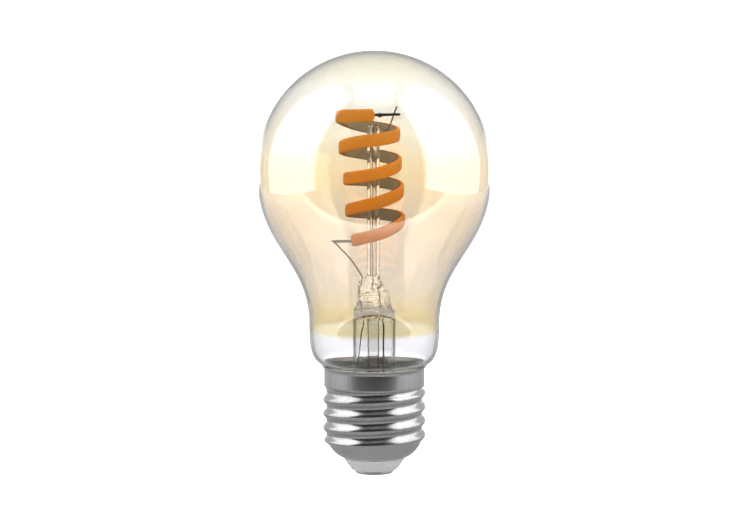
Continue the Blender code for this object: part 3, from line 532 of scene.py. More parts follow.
METAL, GRAIN, RIPPLE = drawn_metal(), fine_grain(), glass_ripple()
print("shared effects:", [g.name for g in (METAL, GRAIN, RIPPLE)])

# %% [markdown]
# ## Finish helpers
# `finish` makes a material and sets the values that are the same all over it on the shader's own
# sockets. `effect` places a shared effect. `blend` mixes two colours by a value, `level` turns a
# value into a range such as a roughness, and `bump` turns a height into a normal.

# %% Finish helpers
def finish(name, colour=(0.8, 0.8, 0.8), **settings):
    made = bpy.data.materials.new(name)
    made.use_nodes = True
    shader = made.node_tree.nodes["Principled BSDF"]
    shader.inputs["Base Color"].default_value = (*colour, 1)
    for setting, value in settings.items():
        shader.inputs[setting.replace("_", " ")].default_value = value
    return made, made.node_tree, shader


def effect(tree, group, **inputs):
    node = add(tree, "ShaderNodeGroup", node_tree=group)
    for label, value in inputs.items():
        node.inputs[label].default_value = value
    return node.outputs


def blend(tree, value, one, two):
    mix = add(tree, "ShaderNodeMix", {0: value, 6: (*one, 1), 7: (*two, 1)}, data_type="RGBA")
    return mix.outputs[2]


def level(tree, value, low, high, start=0.3, end=0.7):
    return add(tree, "ShaderNodeMapRange",
               {0: value, 1: start, 2: end, 3: low, 4: high}).outputs[0]


def bump(tree, height, distance, strength=1.0):
    return add(tree, "ShaderNodeBump",
               {"Height": height, "Distance": distance, "Strength": strength}).outputs[0]


def join(tree, shader, **sockets):
    for label, value in sockets.items():
        tree.links.new(value, shader.inputs[label.replace("_", " ")])


# %% [markdown]
# ## The glass finishes
# The envelope is clear soda glass. A thin metal film was fired onto it from the crown down to
# the lower end of the neck. It lets amber light through and mirrors more than bare glass does.
# The tint is the shader's base colour and follows the height: amber under the film, a neutral
# grey below it, and clear again inside the cap's rim. The mirror is the coat, whose weight fades
# out where the film ends. One glass with a mask needs no second shell.

# %% Glass finishes
FILM_END = 36.9 * MM
FILM_FADE = 0.9 * MM


def amber_glass():
    made, tree, shader = finish("amber_glass", Roughness=0.0, IOR=1.5, Transmission_Weight=1.0,
                                Coat_Roughness=0.02, Coat_IOR=2.4)
    where = add(tree, "ShaderNodeTexCoord").outputs["Object"]
    height = add(tree, "ShaderNodeSeparateXYZ", {0: where}).outputs["Z"]
    low, high = (v.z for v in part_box("glass_envelope"))
    ramp = add(tree, "ShaderNodeValToRGB", {0: level(tree, height, 0.0, 1.0, low, high)})
    ramp.color_ramp.interpolation = "EASE"
    stops = ramp.color_ramp.elements
    # height and the tint of one wall there, from the clear neck up to the crown
    tints = [
        (28.2 * MM, (0.98, 0.98, 0.98)), (29.6 * MM, (0.715, 0.72, 0.735)),
        (FILM_END - FILM_FADE, (0.725, 0.73, 0.745)),
        (FILM_END + FILM_FADE, (0.80, 0.69, 0.40)),
        (42 * MM, (0.85, 0.765, 0.58)),
        (50 * MM, (0.87, 0.795, 0.70)),
        (68 * MM, (0.91, 0.81, 0.67)),
        (77 * MM, (0.985, 0.87, 0.66)),
        # From 77 mm up the tint pales to nearly clear at 98 mm: this pale band is painted reflection of the
        # ceiling light on the upper dome.
        (88 * MM, (0.985, 0.945, 0.84)),
        (98 * MM, (0.99, 0.98, 0.93)),
        (106.5 * MM, (0.985, 0.955, 0.82)),
    ]
    for n, (place, tint) in enumerate(tints):
        stop = stops[n] if n < 2 else stops.new(1.0)
        stop.position = (place - low) / (high - low)
        stop.color = (*tint, 1)
    ripple = effect(tree, RIPPLE, Ripple=35.0, Seed=300.0)
    film = smooth_step(tree, height, FILM_END - FILM_FADE, FILM_END + FILM_FADE)
    join(tree, shader, Base_Color=ramp.outputs[0], Coat_Weight=film,
         Normal=bump(tree, ripple["Height"], 0.00012, 0.25))
    return made


def clear_glass(name, tint, wave, depth):
    made, tree, shader = finish(name, tint, Roughness=0.0, IOR=1.52, Transmission_Weight=1.0)
    ripple = effect(tree, RIPPLE, Ripple=wave, Seed=900.0)
    tone = blend(tree, ripple["Cloud"], tint, tuple(0.985 * v for v in tint))
    join(tree, shader, Base_Color=tone, Normal=bump(tree, ripple["Height"], depth, 0.4))
    return made


AMBER_GLASS = amber_glass()
STEM_GLASS = clear_glass("stem_glass_clear", (0.99, 0.99, 0.985), 260.0, 0.0003)
TUBE_GLASS = clear_glass("tube_glass_clear", (0.985, 0.985, 0.98), 120.0, 0.0001)

# %% [markdown]
# ## The metal finishes
# The cap is steel sheet with bright nickel on it, rolled in a die. Its band keeps fine upright
# streaks. The leads, the filament's tabs and the contact are duller. They share *drawn metal*,
# each with its own values.

# %% Metal finishes
def metal(name, bright, dull, rough, streaks=900.0, length=0.03, patches=60.0, depth=0.00001):
    made, tree, shader = finish(name, bright, Metallic=1.0)
    worn = effect(tree, METAL, Streaks=streaks, Length=length, Patches=patches)
    both = maths(tree, "ADD", maths(tree, "MULTIPLY", worn["Streak"], 0.5),
                 maths(tree, "MULTIPLY", worn["Patch"], 0.5))
    join(tree, shader, Base_Color=blend(tree, level(tree, both, 0, 1), bright, dull),
         Roughness=level(tree, both, rough[0], rough[1]),
         Normal=bump(tree, worn["Height"], depth, 0.5))
    return made


# name, bright and dull colour, roughness from and to, scale of the streaks and how stretched they are
NICKEL = metal("cap_nickel", (0.72, 0.72, 0.72), (0.52, 0.52, 0.52), (0.17, 0.28), 2300.0, 0.008, 90.0,
               0.00001)
TIN = metal("contact_tin", (0.78, 0.77, 0.75), (0.62, 0.61, 0.59), (0.25, 0.45), length=1.0)
# The filament's two tabs are one metal in two copies: the darker one, on the upper tab, is painted shade,
# and the lighter one, on the lower tab, is painted light.
TAB_METAL_PAINTED_SHADE = metal("tab_metal", (0.16, 0.15, 0.14), (0.08, 0.07, 0.06), (0.25, 0.45), 2500.0, 1.0)
TAB_METAL_PAINTED_LIGHT = metal("tab_metal_painted_light", (0.42, 0.41, 0.39), (0.30, 0.29, 0.27), (0.25, 0.4), 2500.0, 1.0)
LEAD_NICKEL = metal("lead_nickel", (0.42, 0.36, 0.28), (0.26, 0.20, 0.15), (0.2, 0.4), 3000.0, 0.2)
LEAD_SEAL = metal("lead_seal", (0.80, 0.47, 0.38), (0.60, 0.32, 0.26), (0.3, 0.5), 3000.0, 0.2)
LEAD_COPPER = metal("lead_copper", (0.36, 0.28, 0.21), (0.22, 0.16, 0.12), (0.25, 0.45), 3000.0, 0.2)
ALUMINIUM = metal("can_aluminium", (0.72, 0.72, 0.73), (0.60, 0.60, 0.62), (0.25, 0.4), 4000.0, 0.1)
COPPER = metal("winding_copper", (0.75, 0.33, 0.14), (0.55, 0.22, 0.09), (0.2, 0.35), 4000.0, 1.0)
SOLDER = metal("solder", (0.68, 0.67, 0.65), (0.5, 0.49, 0.47), (0.2, 0.4), 2000.0, 1.0)

# %% [markdown]
# ## The moulded, fired and coated finishes
# These are not metal: the filament's silicone and its strip, the milky insulator, the cement, and
# the plastics, lacquers and boards of the driver. *fine grain* gives each its own cloudiness.

# %% Other finishes
def stuff(name, one, two, rough, grain=3000.0, cloud=200.0, depth=0.00002, **settings):
    made, tree, shader = finish(name, one, **settings)
    fine = effect(tree, GRAIN, Grain=grain, Cloud=cloud)
    both = maths(tree, "ADD", maths(tree, "MULTIPLY", fine["Grain"], 0.4),
                 maths(tree, "MULTIPLY", fine["Cloud"], 0.6))
    join(tree, shader, Base_Color=blend(tree, level(tree, both, 0, 1), one, two),
         Roughness=level(tree, fine["Cloud"], rough[0], rough[1]),
         Normal=bump(tree, fine["Height"], depth, 0.6))
    return made


# name, two colours, roughness from and to, scale of the grain and of the clouds, depth of the bumps
SILICONE = stuff("phosphor_silicone", (0.95, 0.36, 0.01), (0.88, 0.28, 0.005), (0.4, 0.55),
                 5000.0, 600.0, 0.00002, Specular_IOR_Level=0.3)
STRIP = stuff("filament_strip", (0.52, 0.44, 0.29), (0.44, 0.36, 0.23), (0.4, 0.55), 6000.0, 900.0)
CORE = stuff("filament_core_metal", (0.10, 0.08, 0.06), (0.06, 0.05, 0.04), (0.35, 0.5), 6000.0, 900.0,
             Metallic=1.0)
MILKY = stuff("milky_insulator", (0.68, 0.68, 0.69), (0.61, 0.61, 0.62), (0.22, 0.35), 2500.0, 150.0,
              0.00002, Subsurface_Weight=0.3, Subsurface_Scale=0.002,
              Subsurface_Radius=(1.0, 1.0, 1.0))
CEMENT = stuff("base_cement", (0.90, 0.89, 0.86), (0.72, 0.71, 0.68), (0.8, 0.95), 1500.0, 400.0, 0.0002)
LINER = stuff("liner_film", (0.78, 0.77, 0.72), (0.70, 0.69, 0.64), (0.3, 0.45), 3000.0, 120.0)
FIBRE = stuff("sleeve_fibre", (0.86, 0.84, 0.78), (0.72, 0.70, 0.64), (0.75, 0.9), 6000.0, 2500.0, 0.0001)
BLACK = stuff("moulded_black", (0.03, 0.03, 0.032), (0.045, 0.045, 0.048), (0.4, 0.6), 6000.0, 500.0)
FERRITE = stuff("ferrite_grey", (0.06, 0.06, 0.062), (0.09, 0.088, 0.085), (0.6, 0.75), 5000.0, 900.0,
                0.0001)
BEIGE = stuff("lacquer_beige", (0.62, 0.50, 0.30), (0.56, 0.44, 0.25), (0.3, 0.45), 3000.0, 300.0)
OCHRE = stuff("epoxy_ochre", (0.60, 0.30, 0.06), (0.52, 0.24, 0.04), (0.25, 0.4), 2500.0, 300.0)
RED = stuff("wire_red", (0.55, 0.04, 0.03), (0.48, 0.03, 0.025), (0.35, 0.5), 4000.0, 500.0)
WHITE = stuff("wire_white", (0.82, 0.82, 0.79), (0.74, 0.74, 0.71), (0.35, 0.5), 4000.0, 500.0)
SLEEVE = stuff("capacitor_sleeve", (0.03, 0.05, 0.12), (0.04, 0.06, 0.15), (0.2, 0.3), 3000.0, 200.0)


def board(name, mask, under, line_scale):
    """Solder mask with the copper lines faintly raised under it."""
    made, tree, shader = finish(name, mask)
    place = object_place(tree)
    lines = add(tree, "ShaderNodeTexBrick",
                {"Vector": object_place(tree, turn=(math.pi / 2, 0, 0)), "Scale": line_scale,
                 "Mortar Size": 0.06, "Brick Width": 1.7, "Row Height": 0.4})
    fine = noise_of(tree, place, 3500.0)
    join(tree, shader, Base_Color=blend(tree, lines.outputs["Fac"], mask, under),
         Roughness=level(tree, fine, 0.3, 0.42), Normal=bump(tree, lines.outputs["Fac"], 0.00004))
    return made


GREEN_BOARD = board("board_green", (0.03, 0.19, 0.07), (0.06, 0.32, 0.11), 900.0)
BLACK_BOARD = board("board_black", (0.02, 0.02, 0.024), (0.06, 0.06, 0.065), 1100.0)
print("materials:", len(bpy.data.materials))

# %% [markdown]
# ## The glass envelope
# A real envelope is blown into a mould: a dome, a flank that hollows into the neck, and a tucked
# shoulder that goes into the cap. It has a wall, and the wall makes the fine grey rim that a thin
# surface would lack. The outer profile is a chain of curves. The inner one is the same line moved
# in by the wall along its normals, and both are turned together as one closed ring of glass.

# %% Glass envelope
GLASS_WALL = 0.8 * MM
glass_low, glass_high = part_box("glass_envelope")
cap_low, cap_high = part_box("cap_shell")
BULB_RADIUS = (glass_high.x - glass_low.x) / 2
DOME_CENTRE = glass_high.z - BULB_RADIUS
CAP_RIM = cap_high.z
NECK_RADIUS = 16.6 * MM
NECK_RISE = 10.5 * MM
UPPER_FULLNESS = 0.51
LOWER_FULLNESS = 0.43
SEAT_RADIUS = 12.54 * MM
THROAT_RADIUS = 11.1 * MM
THROAT_DROP = 2.5 * MM


def envelope_profile():
    neck_height = CAP_RIM + NECK_RISE
    flank = DOME_CENTRE - neck_height
    tuck = NECK_RADIUS - SEAT_RADIUS
    seat = (SEAT_RADIUS, CAP_RIM)
    throat = CAP_RIM - THROAT_DROP
    line = []
    for n in range(49):
        angle = math.pi / 2 * n / 48
        line.append((BULB_RADIUS * math.sin(angle), DOME_CENTRE + BULB_RADIUS * math.cos(angle)))
    line += bezier((BULB_RADIUS, DOME_CENTRE),
                   (BULB_RADIUS, DOME_CENTRE - UPPER_FULLNESS * flank),
                   (NECK_RADIUS, neck_height + LOWER_FULLNESS * flank),
                   (NECK_RADIUS, neck_height), 56)
    line += bezier((NECK_RADIUS, neck_height),
                   (NECK_RADIUS, neck_height - 0.70 * NECK_RISE),
                   (SEAT_RADIUS + 0.76 * tuck, CAP_RIM + 0.12 * NECK_RISE), seat, 28)
    line += bezier(seat, (SEAT_RADIUS - 0.15 * tuck, CAP_RIM - 0.14 * THROAT_DROP),
                   (THROAT_RADIUS, throat + 0.5 * THROAT_DROP), (THROAT_RADIUS, throat), 10)
    line.append((THROAT_RADIUS, glass_low.z))
    return line


def moved_in(line, distance):
    """The profile moved towards the axis side by a distance, square to itself."""
    points = np.array(line)
    along = np.gradient(points, axis=0)
    along /= np.linalg.norm(along, axis=1)[:, None]
    inner = points + np.stack([along[:, 1], -along[:, 0]], axis=1) * distance
    inner[0] = (0, points[0, 1] - distance)
    inner[-1] = (points[-1, 0] - distance, points[-1, 1])
    return [tuple(p) for p in inner]


outer_line = envelope_profile()
inner_line = moved_in(outer_line, GLASS_WALL)
bulb_glass = lathe("bulb_glass", outer_line + inner_line[::-1], AMBER_GLASS, 144, sharp=60)
keep(bulb_glass, "amber_glass", "glass_envelope")
print("widest in mm:", round(2 * BULB_RADIUS / MM, 1))

# %% [markdown]
# ## The screw cap
# The cap is one thin sheet, wrapped into a tube, with a round thread rolled into it. A thread is
# a rule: the radius rises and falls with the height, less one pitch for every turn. So the plain
# shell is turned first, and a node tree pushes it outwards by that rule. The thread fades in
# above the shoulder and out below the plain band. Then the sheet gets its wall.

# %% Screw cap
SHELL_WALL = 0.35 * MM
THREAD_PITCH = 3.629 * MM
THREAD_DEPTH = 0.95 * MM
THREAD_PHASE = 6.3 * MM
THREAD_RUNOUT = 1.8 * MM
THREAD_ROOT = 12.15 * MM
BAND_RADIUS = 12.8 * MM
BAND_HEIGHT = 5.1 * MM
LIP_HEIGHT = 0.7 * MM
LIP_FLARE = 0.6 * MM
SHOULDER_TOP = 8.8 * MM
SHOULDER_BASE = cap_low.z
SHOULDER_EDGE = 8.08 * MM
BAND_BASE = CAP_RIM - BAND_HEIGHT


def thread_tree():
    tree, given = geometry_tree("rolled_thread", {
        "Pitch": ("number", THREAD_PITCH), "Depth": ("number", THREAD_DEPTH),
        "Phase": ("number", 0.0), "Start": ("number", 0.0), "End": ("number", 1.0),
        "Runout": ("number", THREAD_RUNOUT)})
    place = add(tree, "GeometryNodeInputPosition").outputs[0]
    xyz = add(tree, "ShaderNodeSeparateXYZ", {0: place}).outputs
    angle = maths(tree, "ARCTAN2", xyz["Y"], xyz["X"])
    climbed = maths(tree, "DIVIDE", maths(tree, "SUBTRACT", xyz["Z"], given["Phase"]),
                    given["Pitch"])
    turns = maths(tree, "SUBTRACT", climbed, maths(tree, "DIVIDE", angle, 2 * math.pi))
    wave = maths(tree, "COSINE", maths(tree, "MULTIPLY", turns, 2 * math.pi))
    rise = maths(tree, "MULTIPLY_ADD", wave, 0.5, 0.5)
    fade_in = smooth_step(tree, xyz["Z"], maths(tree, "SUBTRACT", given["Start"], given["Runout"]),
                          given["Start"])
    fade_out = smooth_step(tree, xyz["Z"], maths(tree, "SUBTRACT", given["End"], given["Runout"]),
                           given["End"], 1, 0)
    fade = maths(tree, "MULTIPLY", fade_in, fade_out)
    push = maths(tree, "MULTIPLY", maths(tree, "MULTIPLY", rise, fade), given["Depth"])
    flat = add(tree, "ShaderNodeCombineXYZ", {0: xyz["X"], 1: xyz["Y"]}).outputs[0]
    outward = add(tree, "ShaderNodeVectorMath", {0: flat}, operation="NORMALIZE").outputs[0]
    offset = add(tree, "ShaderNodeVectorMath", {0: outward, "Scale": push}, operation="SCALE")
    moved = add(tree, "GeometryNodeSetPosition",
                {"Geometry": given["Geometry"], "Offset": offset.outputs[0]})
    end_tree(tree, moved.outputs[0], given)
    return tree


def ease(value):
    value = min(max(value, 0), 1)
    return value * value * (3 - 2 * value)


def shell_radius(height):
    if height >= CAP_RIM - LIP_HEIGHT:
        return BAND_RADIUS + LIP_FLARE * ease((height - CAP_RIM + LIP_HEIGHT) / LIP_HEIGHT)
    step = 0.5 * MM
    return THREAD_ROOT + (BAND_RADIUS - THREAD_ROOT) * ease((height - BAND_BASE + step) / step)


def shell_profile():
    span, drop = THREAD_ROOT - SHOULDER_EDGE, SHOULDER_TOP - SHOULDER_BASE
    line = [(SHOULDER_EDGE, SHOULDER_BASE)]
    line += bezier(line[0], (SHOULDER_EDGE + 0.43 * span, SHOULDER_BASE + 0.11 * drop),
                   (SHOULDER_EDGE + 0.87 * span, SHOULDER_BASE + 0.52 * drop),
                   (THREAD_ROOT, SHOULDER_TOP), 22)
    heights = np.concatenate([np.linspace(SHOULDER_TOP, BAND_BASE, 91)[1:],
                              np.linspace(BAND_BASE, CAP_RIM - LIP_HEIGHT, 12)[1:],
                              np.linspace(CAP_RIM - LIP_HEIGHT, CAP_RIM, 8)[1:]])
    return line + [(shell_radius(z), z) for z in heights]


def screw_cap():
    blank = lathe("cap_blank", shell_profile(), NICKEL, 176, closed=False)
    threaded = grow("cap_threaded", thread_tree(), blank.data, NICKEL, Pitch=THREAD_PITCH,
                    Depth=THREAD_DEPTH, Phase=THREAD_PHASE, Start=SHOULDER_TOP, End=BAND_BASE,
                    Runout=THREAD_RUNOUT)
    bpy.data.objects.remove(blank)
    wall = threaded.modifiers.new("wall", "SOLIDIFY")
    wall.thickness = SHELL_WALL
    wall.offset = -1
    wall.use_quality_normals = True
    made = plain("screw_cap", threaded)
    made.data.set_sharp_from_angle(angle=math.radians(50))
    return made


keep(screw_cap(), "nickel_cap", "cap_shell")

# %% [markdown]
# ## Insulator and contact
# The milky insulator holds the centre contact away from the shell. It is one moulding with a
# waisted cone. The contact is a stamped button with a soft edge and a shallow dished face.

# %% Insulator and contact
CONE_FOOT = 5.75 * MM
CONE_LIP = 0.3 * MM               # how far the cone stands out under the shell's edge
CONE_CHAMFER = 0.1 * MM
CONTACT_HOLE = 1.2 * MM
BUTTON_SPREAD = 0.5 * MM
BUTTON_THICKNESS = 0.85 * MM
SHANK_RADIUS = 0.9 * MM
insulator_low, insulator_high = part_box("insulator")
contact_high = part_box("centre_contact")[1]


def insulator():
    rim, lip = insulator_high.x, insulator_high.x + CONE_LIP
    base, top = insulator_low.z, insulator_high.z
    edge = SHOULDER_BASE - 0.05 * MM
    line = [(rim - CONE_CHAMFER, top), (rim, top - CONE_CHAMFER), (rim, edge), (lip, edge - 0.05 * MM)]
    line += bezier(line[-1], (lip - 0.05 * MM, edge - 0.5 * MM),
                   (CONE_FOOT + 0.35 * MM, base + 0.45 * MM), (CONE_FOOT, base + CONE_CHAMFER), 16)
    line += [(CONE_FOOT - 0.15 * MM, base), (CONTACT_HOLE, base), (CONTACT_HOLE, top), line[0]]
    return lathe("cap_insulator", line, MILKY, 96)


def contact():
    face, shank, top = contact_high.x + BUTTON_SPREAD, SHANK_RADIUS, contact_high.z
    thick = BUTTON_THICKNESS
    line = [(0, top), (shank, top), (shank, thick), (face - 0.2 * MM, thick)]
    line += bezier((face - 0.2 * MM, thick), (face, thick), (face, 0), (face - 0.35 * MM, 0), 8)
    line += [(0.5 * face, 0), (0.35 * face, 0.08 * MM), (0, 0.12 * MM)]
    return lathe("contact_button", line, TIN, 72)


keep(insulator(), "insulator_plastic", "insulator")
keep(contact(), "tinned_contact", "centre_contact")

# %% [markdown]
# ## The glass stem
# The stem is a flared tube that is sealed to the envelope inside the cap. Its top was pinched
# flat while it was hot, which sealed the wires in, and a thin glass column stands on it. All
# of it is one fused glass. So it is lofted as one: oval sections, given by a short table, run
# from the flare's edge over the press and up the column, then down the column's bore. A second
# run of rings makes the hollow of the tube. The pinch leaves folds, which a little noise gives.

# %% Glass stem
stem_low, stem_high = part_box("stem_flare")
column_low, column_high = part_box("support_column")
FLARE_EDGE = stem_low.z
FLARE_RADIUS = stem_high.x
STEM_RADIUS = 5.37 * MM
STEM_WALL = 0.6 * MM
FLARE_HEIGHT = 4.7 * MM
HOLLOW_TOP = 41.1 * MM
COLUMN_X = (column_low.x + column_high.x) / 2
COLUMN_RADIUS = (column_high.x - column_low.x) / 2
COLUMN_BORE = 0.6 * MM
COLUMN_TOP = column_high.z
STEM_SIDES = 128

# height, half width, half depth, sideways shift (all in mm) and squareness (2 is an ellipse)
STEM_SECTIONS = [
    (21.3, 10.0, 10.0, 0, 2), (21.9, 9.85, 9.85, 0, 2), (22.9, 7.6, 7.6, 0, 2),
    (24.3, 6.0, 6.0, 0, 2), (26.0, 5.37, 5.37, 0, 2), (39.3, 5.37, 5.37, 0, 2),
    (40.3, 5.25, 5.0, -0.08, 2.1), (41.6, 5.0, 3.7, -0.18, 2.4), (42.5, 4.6, 2.4, -0.22, 3),
    (43.6, 4.1, 1.95, -0.15, 3.6), (46.0, 3.95, 1.9, -0.25, 3.8), (48.4, 3.3, 1.85, -0.8, 3.4),
    (49.5, 2.75, 1.75, -1.1, 3), (50.1, 2.3, 1.7, -0.95, 2.6), (50.6, 1.9, 1.68, -0.5, 2.2),
    (51.3, 1.64, 1.62, -0.27, 2), (52.5, 1.6, 1.6, -0.25, 2),
]
# height and the depth of the folds there, in mm
STEM_FOLDS = [
    (21, 0), (38.5, 0), (40.3, 0.22), (41.4, 0.55), (42.5, 0.8), (43.6, 0.75), (45, 0.5),
    (47, 0.42), (50, 0.3), (52, 0),
]


def stem_ring(height, width, depth, shift=0, squareness=2, fold=0):
    """One section: a rounded oval, pushed in and out along its own normals by the folds."""
    ring = []
    for k in range(STEM_SIDES):
        angle = 2 * math.pi * k / STEM_SIDES
        across, along = math.cos(angle), math.sin(angle)
        x = width * math.copysign(abs(across) ** (2 / squareness), across)
        y = depth * math.copysign(abs(along) ** (2 / squareness), along)
        if fold:
            at = Vector((x * 0.7, y * 0.8, height * 1.5)) / MM
            wave = noise.noise(at) + 0.6 * noise.noise(at * 2.1) + 0.3 * noise.noise(at * 4.3)
            out = Vector((x / width ** 2, y / depth ** 2)).normalized() * fold * wave
            x, y = x + out.x, y + out.y
        ring.append((x + shift, y, height))
    return ring


def press_rings():
    """The outside, from the flare's edge over the press to the foot of the column."""
    columns = list(zip(*STEM_SECTIONS))
    heights = [z * MM for z in columns[0]]
    width, depth, shift = (even(heights, [v * MM for v in columns[k]]) for k in (1, 2, 3))
    square = even(heights, columns[4])
    folding = even([z * MM for z, _ in STEM_FOLDS], [deep * MM for _, deep in STEM_FOLDS])
    folds_start = 38.5 * MM
    rows = list(np.linspace(heights[0], 26 * MM, 16)) + list(np.linspace(26 * MM, folds_start, 8)[1:])
    rows += list(np.linspace(folds_start, heights[-1], 110)[1:])
    return [stem_ring(z, width(z), depth(z), shift(z), square(z), folding(z)) for z in rows]


def column_rings():
    """Up the column, over its rounded lip and down the bore. Close rings near a bend keep it crisp."""
    lip = 0.25 * MM
    column = [
        (COLUMN_RADIUS, 52.7 * MM), (COLUMN_RADIUS, 53.5 * MM), (COLUMN_RADIUS, COLUMN_TOP - 4 * lip),
        (COLUMN_RADIUS, COLUMN_TOP - 1.4 * lip), (COLUMN_RADIUS, COLUMN_TOP - lip),
        (COLUMN_RADIUS - 0.3 * lip, COLUMN_TOP - 0.3 * lip), (COLUMN_RADIUS - lip, COLUMN_TOP),
        (COLUMN_BORE + lip, COLUMN_TOP), (COLUMN_BORE, COLUMN_TOP - lip),
        (COLUMN_BORE, COLUMN_TOP - 1.4 * lip), (COLUMN_BORE, COLUMN_TOP - 4 * lip),
        (COLUMN_BORE, 51.9 * MM), (COLUMN_BORE, 51.3 * MM), (COLUMN_BORE, 51.2 * MM),
        (0.5 * COLUMN_BORE, 50.9 * MM),
    ]
    return [stem_ring(z, radius, radius, COLUMN_X) for radius, z in column]


def hollow_rings():
    """The inside of the flared tube, from its edge up to its domed top."""
    bore = STEM_RADIUS - STEM_WALL
    flare = FLARE_RADIUS - STEM_RADIUS
    hollow = [
        (FLARE_RADIUS - STEM_WALL, FLARE_EDGE), (bore + 0.48 * flare, FLARE_EDGE + 0.28 * FLARE_HEIGHT),
        (bore + 0.14 * flare, FLARE_EDGE + 0.6 * FLARE_HEIGHT), (bore, FLARE_EDGE + FLARE_HEIGHT),
        (bore, FLARE_EDGE + FLARE_HEIGHT + 0.2 * MM), (bore, FLARE_EDGE + FLARE_HEIGHT + 1 * MM),
        (bore, HOLLOW_TOP - 2.2 * MM), (bore, HOLLOW_TOP - 1.4 * MM), (bore, HOLLOW_TOP - 1.2 * MM),
        (0.9 * bore, HOLLOW_TOP - 0.4 * MM), (0.6 * bore, HOLLOW_TOP), (0.2 * bore, HOLLOW_TOP - 0.1 * MM),
    ]
    return [stem_ring(z, radius, radius) for radius, z in hollow]


def stem():
    """One run of rings, from the top of the hollow down, round the edge and up, joined by faces."""
    rings = hollow_rings()[::-1] + press_rings() + column_rings()
    points = [p for ring in rings for p in ring]
    last = (len(rings) - 1) * STEM_SIDES
    faces = [list(range(STEM_SIDES))[::-1], [last + k for k in range(STEM_SIDES)]]
    for row in range(0, last, STEM_SIDES):
        for k in range(STEM_SIDES):
            after = (k + 1) % STEM_SIDES
            faces.append([row + k, row + after, row + STEM_SIDES + after, row + STEM_SIDES + k])
    return solid("stem_glass", points, faces, STEM_GLASS, sharp=60)


keep(stem(), "clear_glass", "stem_flare", "support_column")

# %% [markdown]
# ## The exhaust tube
# Air was drawn out and gas let in through this tube, which was then melted shut at its tip. It
# hangs in the middle of the stem, and its two walls show as pairs of upright lines.

# %% Exhaust tube
EXHAUST_WALL = 0.3 * MM
EXHAUST_REACH = 0.5 * MM          # how far its open end goes up into the press
tube_low, tube_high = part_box("exhaust_tube")


def exhaust_tube():
    outer = (tube_high.x - tube_low.x) / 2
    inner = outer - EXHAUST_WALL
    tip, top = tube_low.z, tube_high.z + EXHAUST_REACH
    line = [(outer, top), (outer, tip + 1.6 * MM)]
    line += bezier(line[-1], (outer, tip + 0.6 * MM), (0.4 * outer, tip + 0.4 * MM), (0, tip), 10)
    back = [(0, tip + 0.7 * MM)]
    back += bezier(back[0], (0.4 * inner, tip + 0.9 * MM), (inner, tip + 1.2 * MM),
                   (inner, tip + 1.9 * MM), 8)
    line += back + [(inner, top), (outer, top)]
    return lathe("exhaust_glass", line, TUBE_GLASS, 64, centre=((tube_low.x + tube_high.x) / 2, 0))


keep(exhaust_tube(), "clear_glass", "exhaust_tube")

# %% [markdown]
# ## The coiled filament
# The filament is a flexible strip with a row of small diodes on it, covered with an orange
# silicone that holds the phosphor. It was bent into a coil by hand, so its turns are not quite
# even. A short table says how high the strip is at each quarter turn. A node tree sweeps a
# rounded section along that path, keeps the flat side facing out, and rounds both ends.

# %% Filament path
COIL_TOP_TURN = -75.5
TIP_TURN = 12                     # how many degrees at each end are rounded, and get closer points
# degrees round the coil and the strip's height there in mm, from the top down
QUARTERS = [
    (-75.5, 92.15), (-90, 92.1), (-180, 91.2), (-270, 88.05), (-360, 86.8), (-450, 85.75),
    (-540, 83.3), (-630, 81.0), (-720, 79.5), (-810, 77.2), (-900, 75.4), (-990, 74.2),
    (-1080, 72.7), (-1170, 69.95), (-1260, 67.3), (-1350, 65.85), (-1440, 65.0),
    (-1530, 61.9), (-1591.3, 60.0),
]
coil_height = even([q[0] for q in QUARTERS[::-1]], [q[1] * MM for q in QUARTERS[::-1]])
coil_middle = even([v * MM for v in (59, 66.3, 74, 81.4, 89, 94)],
                   [v * MM for v in (0.45, 0.19, -0.15, -1.0, -1.6, -1.9)])
coil_reach = even([v * MM for v in (59, 66.3, 74, 81.4, 89, 94)],
                  [v * MM for v in (7.5, 7.55, 7.6, 7.8, 8.0, 8.1)])


def coil_point(degrees, inset):
    """A point on the coil, a distance inside the silicone's outer face."""
    z = coil_height(degrees)
    angle = math.radians(degrees)
    radius = coil_reach(z) - inset
    return Vector((coil_middle(z) + radius * math.cos(angle), radius * math.sin(angle), z))


COIL_END_TURN = QUARTERS[-1][0]
print("turns:", round((COIL_TOP_TURN - COIL_END_TURN) / 360, 2))


